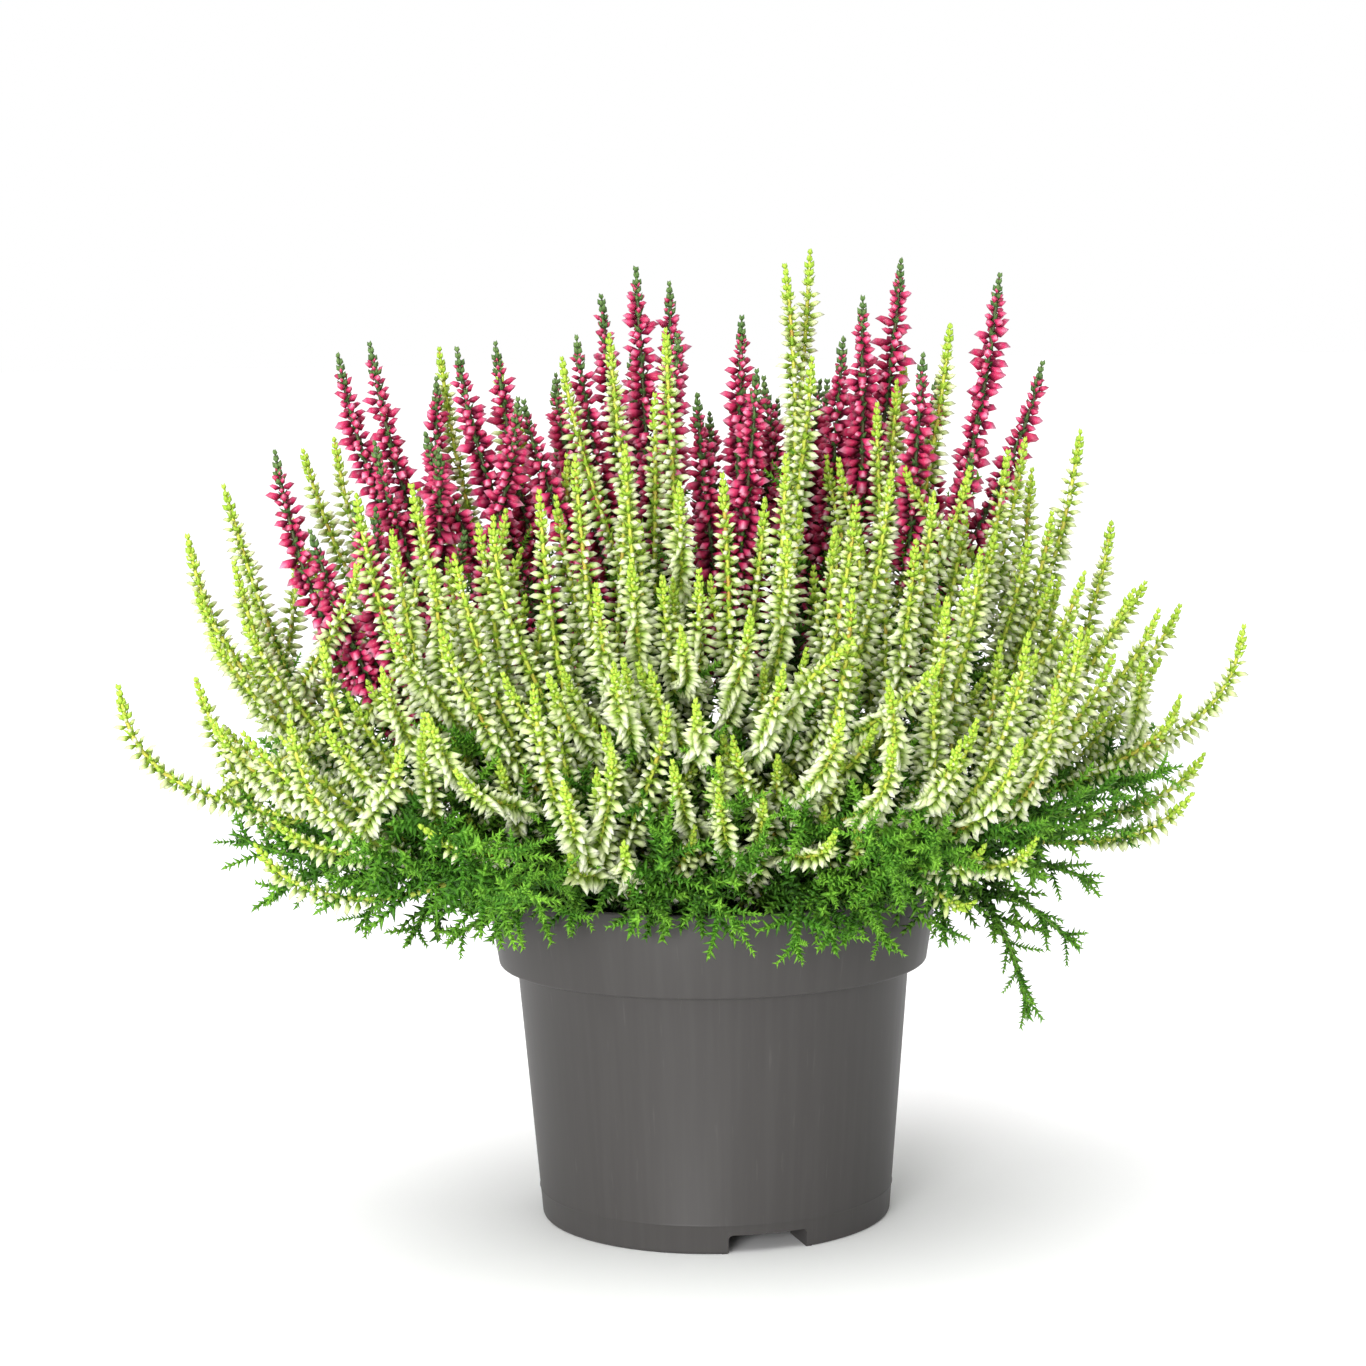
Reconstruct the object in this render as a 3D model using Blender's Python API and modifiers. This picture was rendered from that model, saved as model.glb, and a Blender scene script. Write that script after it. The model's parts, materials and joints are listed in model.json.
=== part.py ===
"""Potted heather: crimson and white bud-flowering heathers in one round nursery pot.

Sizes are in millimetres and become metres in the meshes. +Z is up, +X is the viewer's right and
-Y faces the viewer. The origin is on the ground, on the pot's axis.
"""

import math
import random

import bmesh
import bpy
import numpy as np
from mathutils.kdtree import KDTree

MM = 0.001

# Pot
POT_SIDES = 32
WALL = 1.5
GAP = 0.3
FOOT_RADIUS = 46.3
FOOT_ROUND = 1.0
FOOT_WIDTH = 2.6
FOOT_DRAFT = 0.4
BODY_TOP_RADIUS = 51.9
BAND_BOTTOM = 67.8
BAND_BOTTOM_RADIUS = 56.7
BAND_ROUND = 0.8
RIM_RADIUS = 60.0
RIM_HEIGHT = 89.8
FLOOR_UNDERSIDE = 5.2
FLOOR_TOP = 7.0
NOTCH_COUNT = 3
NOTCH_ANGLE = 16.0
NOTCH_WIDTH = 21.0
NOTCH_HEIGHT = 5.0
NOTCH_CORNER = 1.2
RIB_LENGTH = 13.0
RIB_HEIGHT = 6.0
RIB_END = 44.4
DRAIN_COUNT = 6
DRAIN_RADIUS = 3.5
DRAIN_CIRCLE = 26.0
DRAIN_SIDES = 8
DRAIN_CUT = 8.0

# Soil
SOIL_SIDES = 16
SOIL_TOP = 78.0
HOLE_BOTTOM = 65.5
HOLE_SIDES = 4
HOLE_CLEARANCE = 0.4

# A tip is noted where its line of sight cuts the upright plane through the pot's axis. The plants'
# near surface stands out over an ellipse, furthest at one height, and draws in above and below it
EYE = np.array((-10.0, -849.0, 231.0))
FRONT_REACH = 112.0
HALF_WIDTH = 152.0
DOME_WIDEST = 125.0
DOME_RISE = 140.0
DOME_DROP = 110.0
DOME_LEAST = 0.3

# Stems, and the share of the leader's way at which each side spike forks off
STEM_RADIUS = 1.3
TWIG_RADIUS = 1.05
STEM_FOOT = 66.0
STEM_START = 79.0
ROOT_SPREAD = 0.27
ROOT_LIMIT = 43.0
ROOT_SPACING = 6.6
ROOT_STEPS = 300
FORKS = (0.0, 0.44, 0.3, 0.2, 0.37, 0.52)

# A leader's two middle control points: shares of the way out, and heights as shares of the rise with
# a least height. Each share grows or shrinks with the lean, from 0 upright to 1 level, so that a
# leaning leader runs out low and then turns up. A side spike keeps its leader's direction first and
# turns to its aim before its tip
RISE_WAYS = ((0.2, 0.4), (0.7, 0.4))
RISE_SHARES = ((0.4, -0.45), (0.55, -0.4))
RISE_LEAST = (17.0, 16.0)
RISE_AIM = 1.0
HANG_WAYS = (0.35, 0.85)
HANG_HEIGHTS = (22.0, 20.0)
HANG_AIM = -0.5
SIDE_SHARES = (0.3, 0.34)

# Flower spikes
FLOWERED = (52.0, 62.0)
FLOWERED_LESS = 4.0
BUD_RADIUS = 5.4
BUD_SPREAD = (0.94, 1.04)
BUD_PITCH = 9.2
BUD_DROOP = 0.6
AXIS_RADIUS = 1.6
TIP_LENGTH = 8.0
TIP_RINGS = (1.5, 1.0)
TIP_ROOM = 1.8
COLLAR_RADIUS = 2.7
COLLAR_WAIST = 1.2
COLLAR_DROOP = 2.0
COLLAR_BELOW = 4.0
COLLAR_ROOM = 12.0

# Leafy shoots, which rise where their tip is above UPRIGHT and hang below it
LEAFY_RADIUS = 3.2
LEAFY_WAIST = 0.9
LEAFY_DROOP = 1.5
LEAFY_LENGTH = 28.0
LEAFY_RINGS = 4
UPRIGHT = 106.0

# Rings of a spike or shoot
SIDES = 4
TURN = math.radians(12)
BARE_BASE = 12.0
RING_SPACING = 4.0
LONG_BARE = 30.0

# Room between the plants, over the rim and over the soil, and how the paths are eased apart
SPACE = 0.5
STEM_ROOM = 0.6
RIM_SPACE = 3.5
RIM_SIDE = 6.0
RIM_LOW = 9.0
SOIL_SPACE = 0.9
SAMPLES = 24
STEPS = 160
RENEW = 8
NEAR_MARGIN = 5.0
KIN_FROM = 0.62
EASE = 0.55
HOLD = np.array((0.0, 0.02, 0.02, 0.06))
CHECK_PITCH = 1.5
LEAST_SHARE = 0.4
CRUMB = 0.01

# One row a spray, its leading spike first. Each tip is noted across and up, and how far it stands
# behind the pot's axis where it isn't on the plants' near surface
WHITE_SPRAYS = (
    ((-21, 203), (-20, 173), (-25, 146)),
    ((-34, 200), (-29, 167)),
    ((-46, 139), (-39, 115), (-37, 99), (-24, 98)),
    ((-10, 233, -14), (-7, 193), (-7, 155), (-4, 136)),
    ((3, 195), (11, 159)),
    ((21, 200), (21, 179), (20, 145)),
    ((30, 165), (35, 132), (33, 101)),
    ((40, 187), (43, 150), (48, 125)),
    ((49, 196), (47, 141)),
    ((59, 189), (55, 177), (61, 144)),
    ((71, 174), (63, 162), (66, 124)),
    ((86, 151), (82, 124), (72, 96), (69, 81)),
    ((98, 153), (90, 139), (86, 98)),
    ((-46, 191), (-55, 185)),
    ((-66, 175), (-70, 157), (-67, 118)),
    ((-78, 193), (-84, 156), (-74, 133)),
    ((-91, 191), (-82, 182), (-85, 146), (-79, 104)),
    ((-101, 152), (-101, 130), (-113, 107)),
    ((-111, 134), (-123, 128), (-119, 101)),
    ((-97, 206, 42), (-105, 203, 28), (-109, 186, 14)),
    ((-69, 229, 34), (-88, 188, 62)),
    ((-25, 232, 4), (-37, 226, 14)),
    ((28, 253, 16), (20, 249, 8), (28, 225, -16)),
    ((64, 233, 14), (69, 196, -22)),
    ((84, 203, 8), (79, 200, -8)),
    ((98, 205, 22), (90, 184, 2), (115, 165, 20)),
    ((106, 181, 36), (124, 159, 40), (118, 158, 8)),
    ((141, 153, 34), (124, 135, 8), (130, 120, 26), (127, 109, 6)),
    ((-155, 142, -36), (-135, 143, -26), (-129, 119, -24)),
    ((-136, 181, 0), (-124, 174, -14), (-126, 194, 12)),
)
CRIMSON_SPRAYS = (
    ((-112, 203, -2), (-104, 182, -10)),
    ((-88, 230, 16), (-95, 228, 28), (-86, 205, 6)),
    ((-55, 230, 24), (-64, 229, 14), (-73, 207, 4)),
    ((-27, 242, 34), (-39, 220, 28), (-47, 215, 8)),
    ((-17, 249, 24), (-9, 245, 34)),
    ((10, 236, 20), (17, 222, 6), (-2, 216, 6)),
    ((41, 231, 36), (36, 230, 22), (31, 219, 34)),
    ((51, 250, 26), (59, 220, 36)),
    ((77, 246, 28), (88, 223, 38)),
)
LEAFY_SPRAYS = (
    ((-117, 86), (-94, 77), (-81, 73), (-98, 96)),
    ((-54, 76), (-70, 73), (-38, 77), (-52, 100)),
    ((-22, 75), (-12, 104), (8, 74), (14, 100)),
    ((32, 69), (23, 68), (47, 69), (52, 96)),
    ((84, 50), (62, 72), (97, 69), (102, 86)),
    ((-50, 126, -50), (-70, 118, -48), (-34, 118, -66), (-58, 108, -66), (-80, 112, -36)),
    ((-6, 124, -52), (-18, 112, -74), (8, 112, -76), (-26, 128, -34), (20, 126, -40)),
    ((54, 128, -44), (38, 116, -62), (68, 112, -56), (84, 122, -26), (34, 132, -26)),
)

# The far side: reach, height and turn aside of the tips of one fan, repeated round the back with
# seeded draws, white where the fan stands less than FAR_WHITE degrees from the plane of the tips
FAR_FAN = ((70.0, 222.0, -3.0), (94.0, 188.0, 5.0), (109.0, 150.0, -3.0), (105.0, 116.0, 5.0))
FAR_FANS = 8
FAR_SPAN = (30.0, 150.0)
FAR_WHITE = 42.0
FAR_TURN = 4.0
FAR_STRETCH = (0.96, 1.04)
LEAFY_REACH = 84.0
LEAFY_LEAST = 14.0
LEAFY_FAR = 3
LEAFY_FAR_SHOOTS = 4
LEAFY_FAR_REACH = (84.0, 98.0)
LEAFY_FAR_HEIGHT = (70.0, 84.0)

COLOURS = {
    "pot": (0.13, 0.127, 0.123, 0.42, 0.0),
    "soil": (0.018, 0.012, 0.008, 0.95, 0.0),
    "white": (0.62, 0.70, 0.30, 0.6, 0.0),
    "crimson": (0.42, 0.015, 0.07, 0.55, 0.0),
    "leafy": (0.09, 0.26, 0.03, 0.6, 0.0),
}


def clear_scene():
    """Remove every object the file opened with."""
    for thing in list(bpy.data.objects):
        bpy.data.objects.remove(thing)


def collection(name, parent=None):
    """A new collection in its parent, or in the scene."""
    group = bpy.data.collections.new(name)
    (parent or bpy.context.scene.collection).children.link(group)
    return group


def material(name):
    """A Principled BSDF with the colour, roughness and metallic value kept under name."""
    made = bpy.data.materials.get(name)
    if made:
        return made
    red, green, blue, roughness, metallic = COLOURS[name]
    made = bpy.data.materials.new(name)
    made.use_nodes = True
    shader = made.node_tree.nodes["Principled BSDF"]
    shader.inputs["Base Color"].default_value = (red, green, blue, 1.0)
    shader.inputs["Roughness"].default_value = roughness
    shader.inputs["Metallic"].default_value = metallic
    return made


def new_object(name, mesh, group, finish=None):
    """Put a mesh in a collection as a named object."""
    thing = bpy.data.objects.new(name, mesh)
    if finish:
        mesh.materials.append(material(finish))
    group.objects.link(thing)
    return thing


def as_cutter(thing):
    """Mark an object as a cutter, which isn't part of the model."""
    thing.hide_render = True
    thing.display_type = "WIRE"
    return thing


def turned(name, profile, sides, group, finish):
    """Turn a profile of (radius, height) points about Z with a Screw modifier."""
    mesh = bpy.data.meshes.new(name)
    points = [(radius * MM, 0.0, height * MM) for radius, height in profile]
    edges = [(i, i + 1) for i in range(len(points) - 1)]
    mesh.from_pydata(points, edges, [])
    thing = new_object(name, mesh, group, finish)
    screw = thing.modifiers.new("turn", "SCREW")
    screw.steps = sides
    screw.render_steps = sides
    screw.use_merge_vertices = True
    screw.merge_threshold = 0.0001
    return thing


def apply_modifiers(thing):
    """Replace an object's mesh with its evaluated one and drop the modifiers."""
    graph = bpy.context.evaluated_depsgraph_get()
    mesh = bpy.data.meshes.new_from_object(thing.evaluated_get(graph))
    thing.modifiers.clear()
    thing.data = mesh


def arc(centre_radius, centre_height, radius, start, end, count):
    """Points of a round, from angle start to angle end in degrees."""
    angles = np.radians(np.linspace(start, end, count))
    return [
        (centre_radius + radius * math.cos(a), centre_height + radius * math.sin(a)) for a in angles
    ]


def outer_radius(height):
    """The pot body's outside radius below the band."""
    return FOOT_RADIUS + (BODY_TOP_RADIUS - FOOT_RADIUS) * height / BAND_BOTTOM


def band_radius(height):
    """The rim band's outside radius."""
    share = (height - BAND_BOTTOM) / (RIM_HEIGHT - BAND_BOTTOM)
    return BAND_BOTTOM_RADIUS + (RIM_RADIUS - BAND_BOTTOM_RADIUS) * share


def make_pot(group, cutters):
    """The moulded pot: rim band, tapered wall, raised floor with drain holes, notched foot with ribs."""
    lip = WALL / 2
    inner_step = BAND_BOTTOM + WALL
    profile = [
        (0.0, FLOOR_TOP),
        (outer_radius(FLOOR_TOP) - WALL, FLOOR_TOP),
        (outer_radius(BAND_BOTTOM) - WALL, inner_step),
        (band_radius(inner_step) - WALL, inner_step),
        (RIM_RADIUS - WALL, RIM_HEIGHT - lip),
    ]
    profile += arc(RIM_RADIUS - lip, RIM_HEIGHT - lip, lip, 120, 0, 3)
    edge_radius = BAND_BOTTOM_RADIUS - BAND_ROUND
    profile += arc(edge_radius, BAND_BOTTOM + BAND_ROUND, BAND_ROUND, 0, -90, 3)
    profile.append((outer_radius(BAND_BOTTOM), BAND_BOTTOM))
    foot_edge = outer_radius(FOOT_ROUND) - FOOT_ROUND
    profile += arc(foot_edge, FOOT_ROUND, FOOT_ROUND, 0, -90, 3)
    profile += [
        (FOOT_RADIUS - FOOT_WIDTH, 0.0),
        (FOOT_RADIUS - FOOT_WIDTH + FOOT_DRAFT, FLOOR_UNDERSIDE),
        (0.0, FLOOR_UNDERSIDE),
    ]
    pot = turned("pot", profile, POT_SIDES, group, "pot")
    apply_modifiers(pot)
    ribs = collection("ribs")
    holes = collection("pot_cuts", cutters)
    for index in range(NOTCH_COUNT):
        turn = math.radians(NOTCH_ANGLE + 360.0 * index / NOTCH_COUNT - 90.0)
        for side in (-1, 1):
            aside = side * (NOTCH_WIDTH + WALL) / 2
            box(f"rib_{index}_{side}", (RIB_LENGTH, WALL, RIB_HEIGHT),
                (RIB_END - RIB_LENGTH / 2, aside, RIB_HEIGHT / 2), turn, ribs)
        cut = box(f"notch_{index}", (3 * FOOT_WIDTH, NOTCH_WIDTH, 2 * NOTCH_HEIGHT),
                  (FOOT_RADIUS, 0.0, 0.0), turn, holes)
        round_along(cut, NOTCH_CORNER)
    for index in range(DRAIN_COUNT):
        angle = 2 * math.pi * (index + 0.5) / DRAIN_COUNT
        place = (DRAIN_CIRCLE * math.cos(angle), DRAIN_CIRCLE * math.sin(angle), FLOOR_TOP)
        prism(f"drain_{index}", DRAIN_RADIUS, DRAIN_SIDES, DRAIN_CUT, place, holes)
    boolean(pot, ribs, "UNION")
    boolean(pot, holes, "DIFFERENCE")
    clear_collection(ribs)
    clear_collection(holes)
    finish_round(pot)
    return pot


def box(name, size, centre, turn, group):
    """A box of the given size whose centre is turned about Z with it."""
    mesh = bpy.data.meshes.new(name)
    shape = bmesh.new()
    bmesh.ops.create_cube(shape, size=1.0)
    for vertex in shape.verts:
        vertex.co.x = (vertex.co.x * size[0] + centre[0]) * MM
        vertex.co.y = (vertex.co.y * size[1] + centre[1]) * MM
        vertex.co.z = (vertex.co.z * size[2] + centre[2]) * MM
    shape.to_mesh(mesh)
    shape.free()
    thing = as_cutter(new_object(name, mesh, group))
    thing.rotation_euler.z = turn
    return thing


def round_along(thing, radius):
    """Round a box's upper long edges, which run along its own X."""
    shape = bmesh.new()
    shape.from_mesh(thing.data)
    edges = []
    for edge in shape.edges:
        one, other = edge.verts[0].co, edge.verts[1].co
        if min(one.z, other.z) > 0.0 and abs(one.y - other.y) < 0.1 * MM:
            edges.append(edge)
    bmesh.ops.bevel(shape, geom=edges, offset=radius * MM, segments=2, profile=0.5, affect="EDGES")
    shape.to_mesh(thing.data)
    shape.free()


def prism(name, radius, sides, height, centre, group):
    """A regular prism standing on Z, used as a cutter."""
    mesh = bpy.data.meshes.new(name)
    shape = bmesh.new()
    bmesh.ops.create_cone(shape, cap_ends=True, segments=sides, radius1=radius * MM,
                          radius2=radius * MM, depth=height * MM)
    shape.to_mesh(mesh)
    shape.free()
    thing = as_cutter(new_object(name, mesh, group))
    thing.location = [value * MM for value in centre]
    return thing


def boolean(thing, group, operation):
    """Join or cut an object with a whole collection and apply it."""
    modifier = thing.modifiers.new(operation.lower(), "BOOLEAN")
    modifier.operation = operation
    modifier.operand_type = "COLLECTION"
    modifier.collection = group
    modifier.solver = "EXACT"
    apply_modifiers(thing)


def clear_collection(group):
    """Remove a collection and the objects in it."""
    for thing in list(group.objects):
        bpy.data.objects.remove(thing)
    bpy.data.collections.remove(group)


def fill_pockets(thing):
    """Drop the skin of each pocket that touching buds close in, which faces inwards, and crumbs."""
    shape = bmesh.new()
    shape.from_mesh(thing.data)
    pockets = []
    left = set(shape.faces)
    while left:
        skin = [left.pop()]
        for face in skin:
            for edge in face.edges:
                beside = [near for near in edge.link_faces if near in left]
                left.difference_update(beside)
                skin += beside
        start = skin[0].verts[0].co
        parts = [face.calc_area() * face.normal.dot(face.calc_center_median() - start) for face in skin]
        if sum(parts) < 3.0 * CRUMB * MM**3:
            pockets += skin
    bmesh.ops.delete(shape, geom=pockets, context="FACES")
    shape.to_mesh(thing.data)
    shape.free()


def finish_round(thing):
    """Shade smooth, with hard edges kept."""
    thing.data.shade_smooth()
    thing.data.set_sharp_from_angle(angle=math.radians(35))


def make_soil(group, cutters, roots):
    """The soil, which follows the pot's inside, with a plain blind hole for each stem."""
    shelf = BAND_BOTTOM + WALL + GAP
    profile = [
        (0.0, SOIL_TOP),
        (band_radius(SOIL_TOP) - WALL - GAP, SOIL_TOP),
        (band_radius(shelf) - WALL - GAP, shelf),
        (outer_radius(BAND_BOTTOM) - WALL - GAP, shelf),
        (outer_radius(FLOOR_TOP) - WALL - GAP, FLOOR_TOP + GAP),
        (0.0, FLOOR_TOP + GAP),
    ]
    soil = turned("soil", profile, SOIL_SIDES, group, "soil")
    apply_modifiers(soil)
    holes = collection("stem_holes", cutters)
    flat = STEM_RADIUS + HOLE_CLEARANCE
    radius = flat / math.cos(math.pi / HOLE_SIDES)
    depth = 2 * (SOIL_TOP - HOLE_BOTTOM)
    for index, (x, y) in enumerate(roots):
        prism(f"hole_{index}", radius, HOLE_SIDES, depth, (x, y, SOIL_TOP), holes)
    boolean(soil, holes, "DIFFERENCE")
    clear_collection(holes)
    return soil


def on_sight_line(across, up, back):
    """The point of the line of sight through (across, 0, up) that stands back from the axis plane."""
    seen = np.array((across, 0.0, up))
    return EYE + (seen - EYE) * (back - EYE[1]) / -EYE[1]


def near_depth(across, up):
    """How far the plants' near surface stands in front of the pot's axis, as a negative distance."""
    width = math.sqrt(max(0.0, 1.0 - (across / HALF_WIDTH) ** 2))
    above = up - DOME_WIDEST
    inwards = max(above / DOME_RISE, -above / DOME_DROP)
    return -FRONT_REACH * width * max(DOME_LEAST, 1.0 - inwards)


def rim_depth(across):
    """How far in front of the pot's axis a leafy shoot hangs."""
    return -math.sqrt(max(LEAFY_REACH**2 - across**2, LEAFY_LEAST**2))


def round_axis(reach, angle, height):
    """A point at a reach from the pot's axis and an angle in degrees."""
    turn = math.radians(angle)
    return np.array((reach * math.cos(turn), reach * math.sin(turn), height))


def tip_place(kind, across, up, back=None):
    """A tip in space, on the near surface of its kind unless it is noted how far back it stands."""
    if back is None:
        back = rim_depth(across) if kind == "leafy" else near_depth(across, up)
    return on_sight_line(across, up, back)


def far_angles(count):
    """Evenly spaced angles round the far side, in degrees."""
    first, last = FAR_SPAN
    return [first + (last - first) * (index + 0.5) / count for index in range(count)]


def far_sprays(draw):
    """Fans of spikes round the side the viewer doesn't see, white at both ends, and leafy shoots."""
    sprays = []
    for index, angle in enumerate(far_angles(FAR_FANS)):
        kind = "white" if min(angle, 180.0 - angle) < FAR_WHITE else "crimson"
        tips = []
        for reach, height, aside in FAR_FAN[: 3 + index % 2]:
            turn = angle + aside + draw.uniform(-FAR_TURN, FAR_TURN)
            tips.append(round_axis(reach * draw.uniform(*FAR_STRETCH), turn,
                                   height * draw.uniform(*FAR_STRETCH)))
        sprays.append((kind, tips))
    tips = []
    for angle in far_angles(LEAFY_FAR * LEAFY_FAR_SHOOTS):
        turn = angle + draw.uniform(-FAR_TURN, FAR_TURN)
        tips.append(round_axis(draw.uniform(*LEAFY_FAR_REACH), turn, draw.uniform(*LEAFY_FAR_HEIGHT)))
        if len(tips) == LEAFY_FAR_SHOOTS:
            sprays.append(("leafy", tips))
            tips = []
    return sprays


def all_sprays(draw):
    """Every spray as its kind and its tips in space, the leading spike first."""
    tables = {"white": WHITE_SPRAYS, "crimson": CRIMSON_SPRAYS, "leafy": LEAFY_SPRAYS}
    sprays = []
    for kind, rows in tables.items():
        sprays += [(kind, [tip_place(kind, *tip) for tip in row]) for row in rows]
    return sprays + far_sprays(draw)


class Spike:
    """One flower spike or leafy shoot: where its tip stands, where it forks off and how it is dressed."""

    def __init__(self, spray, kind, tip, rank, draw):
        self.spray = spray
        self.kind = kind
        self.tip = tip
        self.leads = rank == 0
        self.fork = FORKS[rank]
        self.hangs = kind == "leafy" and tip[2] < UPRIGHT
        if kind != "leafy":
            self.flowered = draw.uniform(*FLOWERED) - FLOWERED_LESS * rank
            self.bud = BUD_RADIUS * draw.uniform(*BUD_SPREAD)

    def thickness(self, from_tip):
        """The radius taken up at distances from the tip."""
        if self.kind == "leafy":
            return np.where(from_tip < LEAFY_LENGTH, LEAFY_RADIUS, TWIG_RADIUS + STEM_ROOM)
        end = TIP_LENGTH + self.flowered
        flowers = np.where(from_tip < 0.6 * TIP_LENGTH, TIP_ROOM, self.bud)
        stem = np.where(from_tip < end + COLLAR_ROOM, COLLAR_RADIUS, STEM_RADIUS + STEM_ROOM)
        return np.where(from_tip < end, flowers, stem)


def place_roots(spikes, count):
    """A root for each spray under its leading tip, spaced out over the soil."""
    roots = np.zeros((count, 2))
    for spike in spikes:
        if spike.leads:
            roots[spike.spray] = spike.tip[:2] * ROOT_SPREAD
    for _ in range(ROOT_STEPS):
        line = roots[:, None] - roots[None, :]
        distance = np.linalg.norm(line, axis=2) + np.eye(count) * 2 * ROOT_LIMIT
        missing = np.maximum(0.0, ROOT_SPACING - distance)
        roots += (line * (0.3 * missing / distance)[:, :, None]).sum(axis=1)
        reach = np.linalg.norm(roots, axis=1)
        far = reach > ROOT_LIMIT
        roots[far] *= (ROOT_LIMIT / reach[far])[:, None]
    return roots


def bernstein(shares):
    """Cubic Bezier weights at each share of the way, one row each."""
    t = np.atleast_1d(np.asarray(shares, float))[:, None]
    return np.hstack(((1 - t) ** 3, 3 * t * (1 - t) ** 2, 3 * t * t * (1 - t), t**3))


def slope(control, share):
    """The unit direction of a path at a share of the way."""
    ends = bernstein((share - 0.01, share + 0.01)) @ control
    line = ends[1] - ends[0]
    return line / np.linalg.norm(line)


def first_controls(spikes, roots):
    """Bezier control points of every path before they are eased apart."""
    controls = np.zeros((len(spikes), 4, 3))
    leader = None
    for index, spike in enumerate(spikes):
        if spike.leads:
            leader = index
            start = np.array((*roots[spike.spray], STEM_START))
            span = spike.tip - start
            level = np.array((span[0], span[1], 0.0))
            ways, heights = HANG_WAYS, HANG_HEIGHTS
            if not spike.hangs:
                out = np.linalg.norm(level)
                lean = out / (out + span[2])
                ways = [first + more * lean for first, more in RISE_WAYS]
                shares = [first + more * lean for first, more in RISE_SHARES]
                heights = [max(share * span[2], least) for share, least in zip(shares, RISE_LEAST)]
            second = start + ways[0] * level + np.array((0.0, 0.0, heights[0]))
            third = start + ways[1] * level + np.array((0.0, 0.0, heights[1]))
        else:
            start = bernstein(spike.fork)[0] @ controls[leader]
            span = spike.tip - start
            reach = np.linalg.norm(span)
            second = start + SIDE_SHARES[0] * reach * slope(controls[leader], spike.fork)
            aim = span / reach + np.array((0.0, 0.0, HANG_AIM if spike.hangs else RISE_AIM))
            third = spike.tip - SIDE_SHARES[1] * reach * aim / np.linalg.norm(aim)
        controls[index] = (start, second, third, spike.tip)
    return controls


def attach_forks(spikes, controls):
    """Start each side spike on its leader."""
    leader = 0
    for index, spike in enumerate(spikes):
        if spike.leads:
            leader = index
        else:
            controls[index, 0] = bernstein(spike.fork)[0] @ controls[leader]


def runs_to_tip(path):
    """Each point's distance to its path's end, for paths of points along the second axis."""
    pieces = np.linalg.norm(np.diff(path, axis=1), axis=2)
    run = np.cumsum(pieces[:, ::-1], axis=1)[:, ::-1]
    return np.concatenate((run, np.zeros((len(path), 1))), axis=1)


def near_pairs(points, radius, margin):
    """Pairs of points whose rounds come within a margin of each other."""
    square = (points**2).sum(axis=1)
    apart = square[:, None] + square[None, :] - 2.0 * points @ points.T
    need = radius[:, None] + radius[None, :] + margin
    return np.nonzero(np.triu(apart < need**2, 1))


def rim_push(points, radius):
    """How far each point has to move to clear the pot's rim and the soil."""
    push = np.zeros_like(points)
    reach = np.hypot(points[:, 0], points[:, 1]) + 1e-6
    outward = points[:, :2] / reach[:, None]
    across = reach - (RIM_RADIUS - WALL / 2)
    over = points[:, 2] - (RIM_HEIGHT - WALL / 2)
    need = radius + RIM_SPACE
    near = np.hypot(across, np.maximum(over, 0.0))
    lift = (near < need) & (over > -RIM_SIDE)
    push[lift, 2] += (need - near)[lift]
    beside = (over <= -RIM_SIDE) & (np.abs(across) < need)
    side = np.where(across > 0.0, need - across, -need - across)
    push[beside, :2] += (outward * side[:, None])[beside]
    floor = SOIL_TOP + radius + SOIL_SPACE
    ground = (across < 0.0) & (points[:, 2] < floor)
    push[ground, 2] += (floor - points[:, 2])[ground]
    return push


def ease_apart(spikes, controls):
    """Bend the paths clear of each other, the rim and the soil, with each tip held near its place."""
    count = len(spikes)
    shares = np.linspace(0.04, 1.0, SAMPLES)
    weights = bernstein(shares)
    aims = controls.copy()
    own = np.repeat(np.arange(count), SAMPLES)
    spray = np.array([spike.spray for spike in spikes])[own]
    late = np.tile(shares > KIN_FROM, count)
    for step in range(STEPS):
        attach_forks(spikes, controls)
        path = np.einsum("sk,nkd->nsd", weights, controls)
        from_tip = runs_to_tip(path)
        radius = np.concatenate([spike.thickness(from_tip[i]) for i, spike in enumerate(spikes)])
        points = path.reshape(-1, 3)
        if step % RENEW == 0:
            first, second = near_pairs(points, radius, NEAR_MARGIN)
            kin = spray[first] == spray[second]
            keep = (own[first] != own[second]) & (~kin | (late[first] & late[second]))
            first, second, kin = first[keep], second[keep], kin[keep]
        line = points[first] - points[second]
        distance = np.linalg.norm(line, axis=1) + 1e-6
        missing = np.maximum(0.0, radius[first] + radius[second] + SPACE - distance)
        push = line * (np.where(kin, 0.25, 0.5) * missing / distance)[:, None]
        force = 2.0 * rim_push(points, radius)
        np.add.at(force, first, push)
        np.add.at(force, second, -push)
        change = EASE * np.einsum("sk,nsd->nkd", weights, force.reshape(count, SAMPLES, 3))
        change[:, 0] = 0.0
        controls += change + HOLD[:, None] * (aims - controls)
    attach_forks(spikes, controls)
    return controls


def path_points(control):
    """A path as a fine row of points, and the distance run to each."""
    path = bernstein(np.linspace(0.0, 1.0, 121)) @ control
    pieces = np.linalg.norm(np.diff(path, axis=0), axis=1)
    return path, np.concatenate(([0.0], np.cumsum(pieces)))


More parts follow.
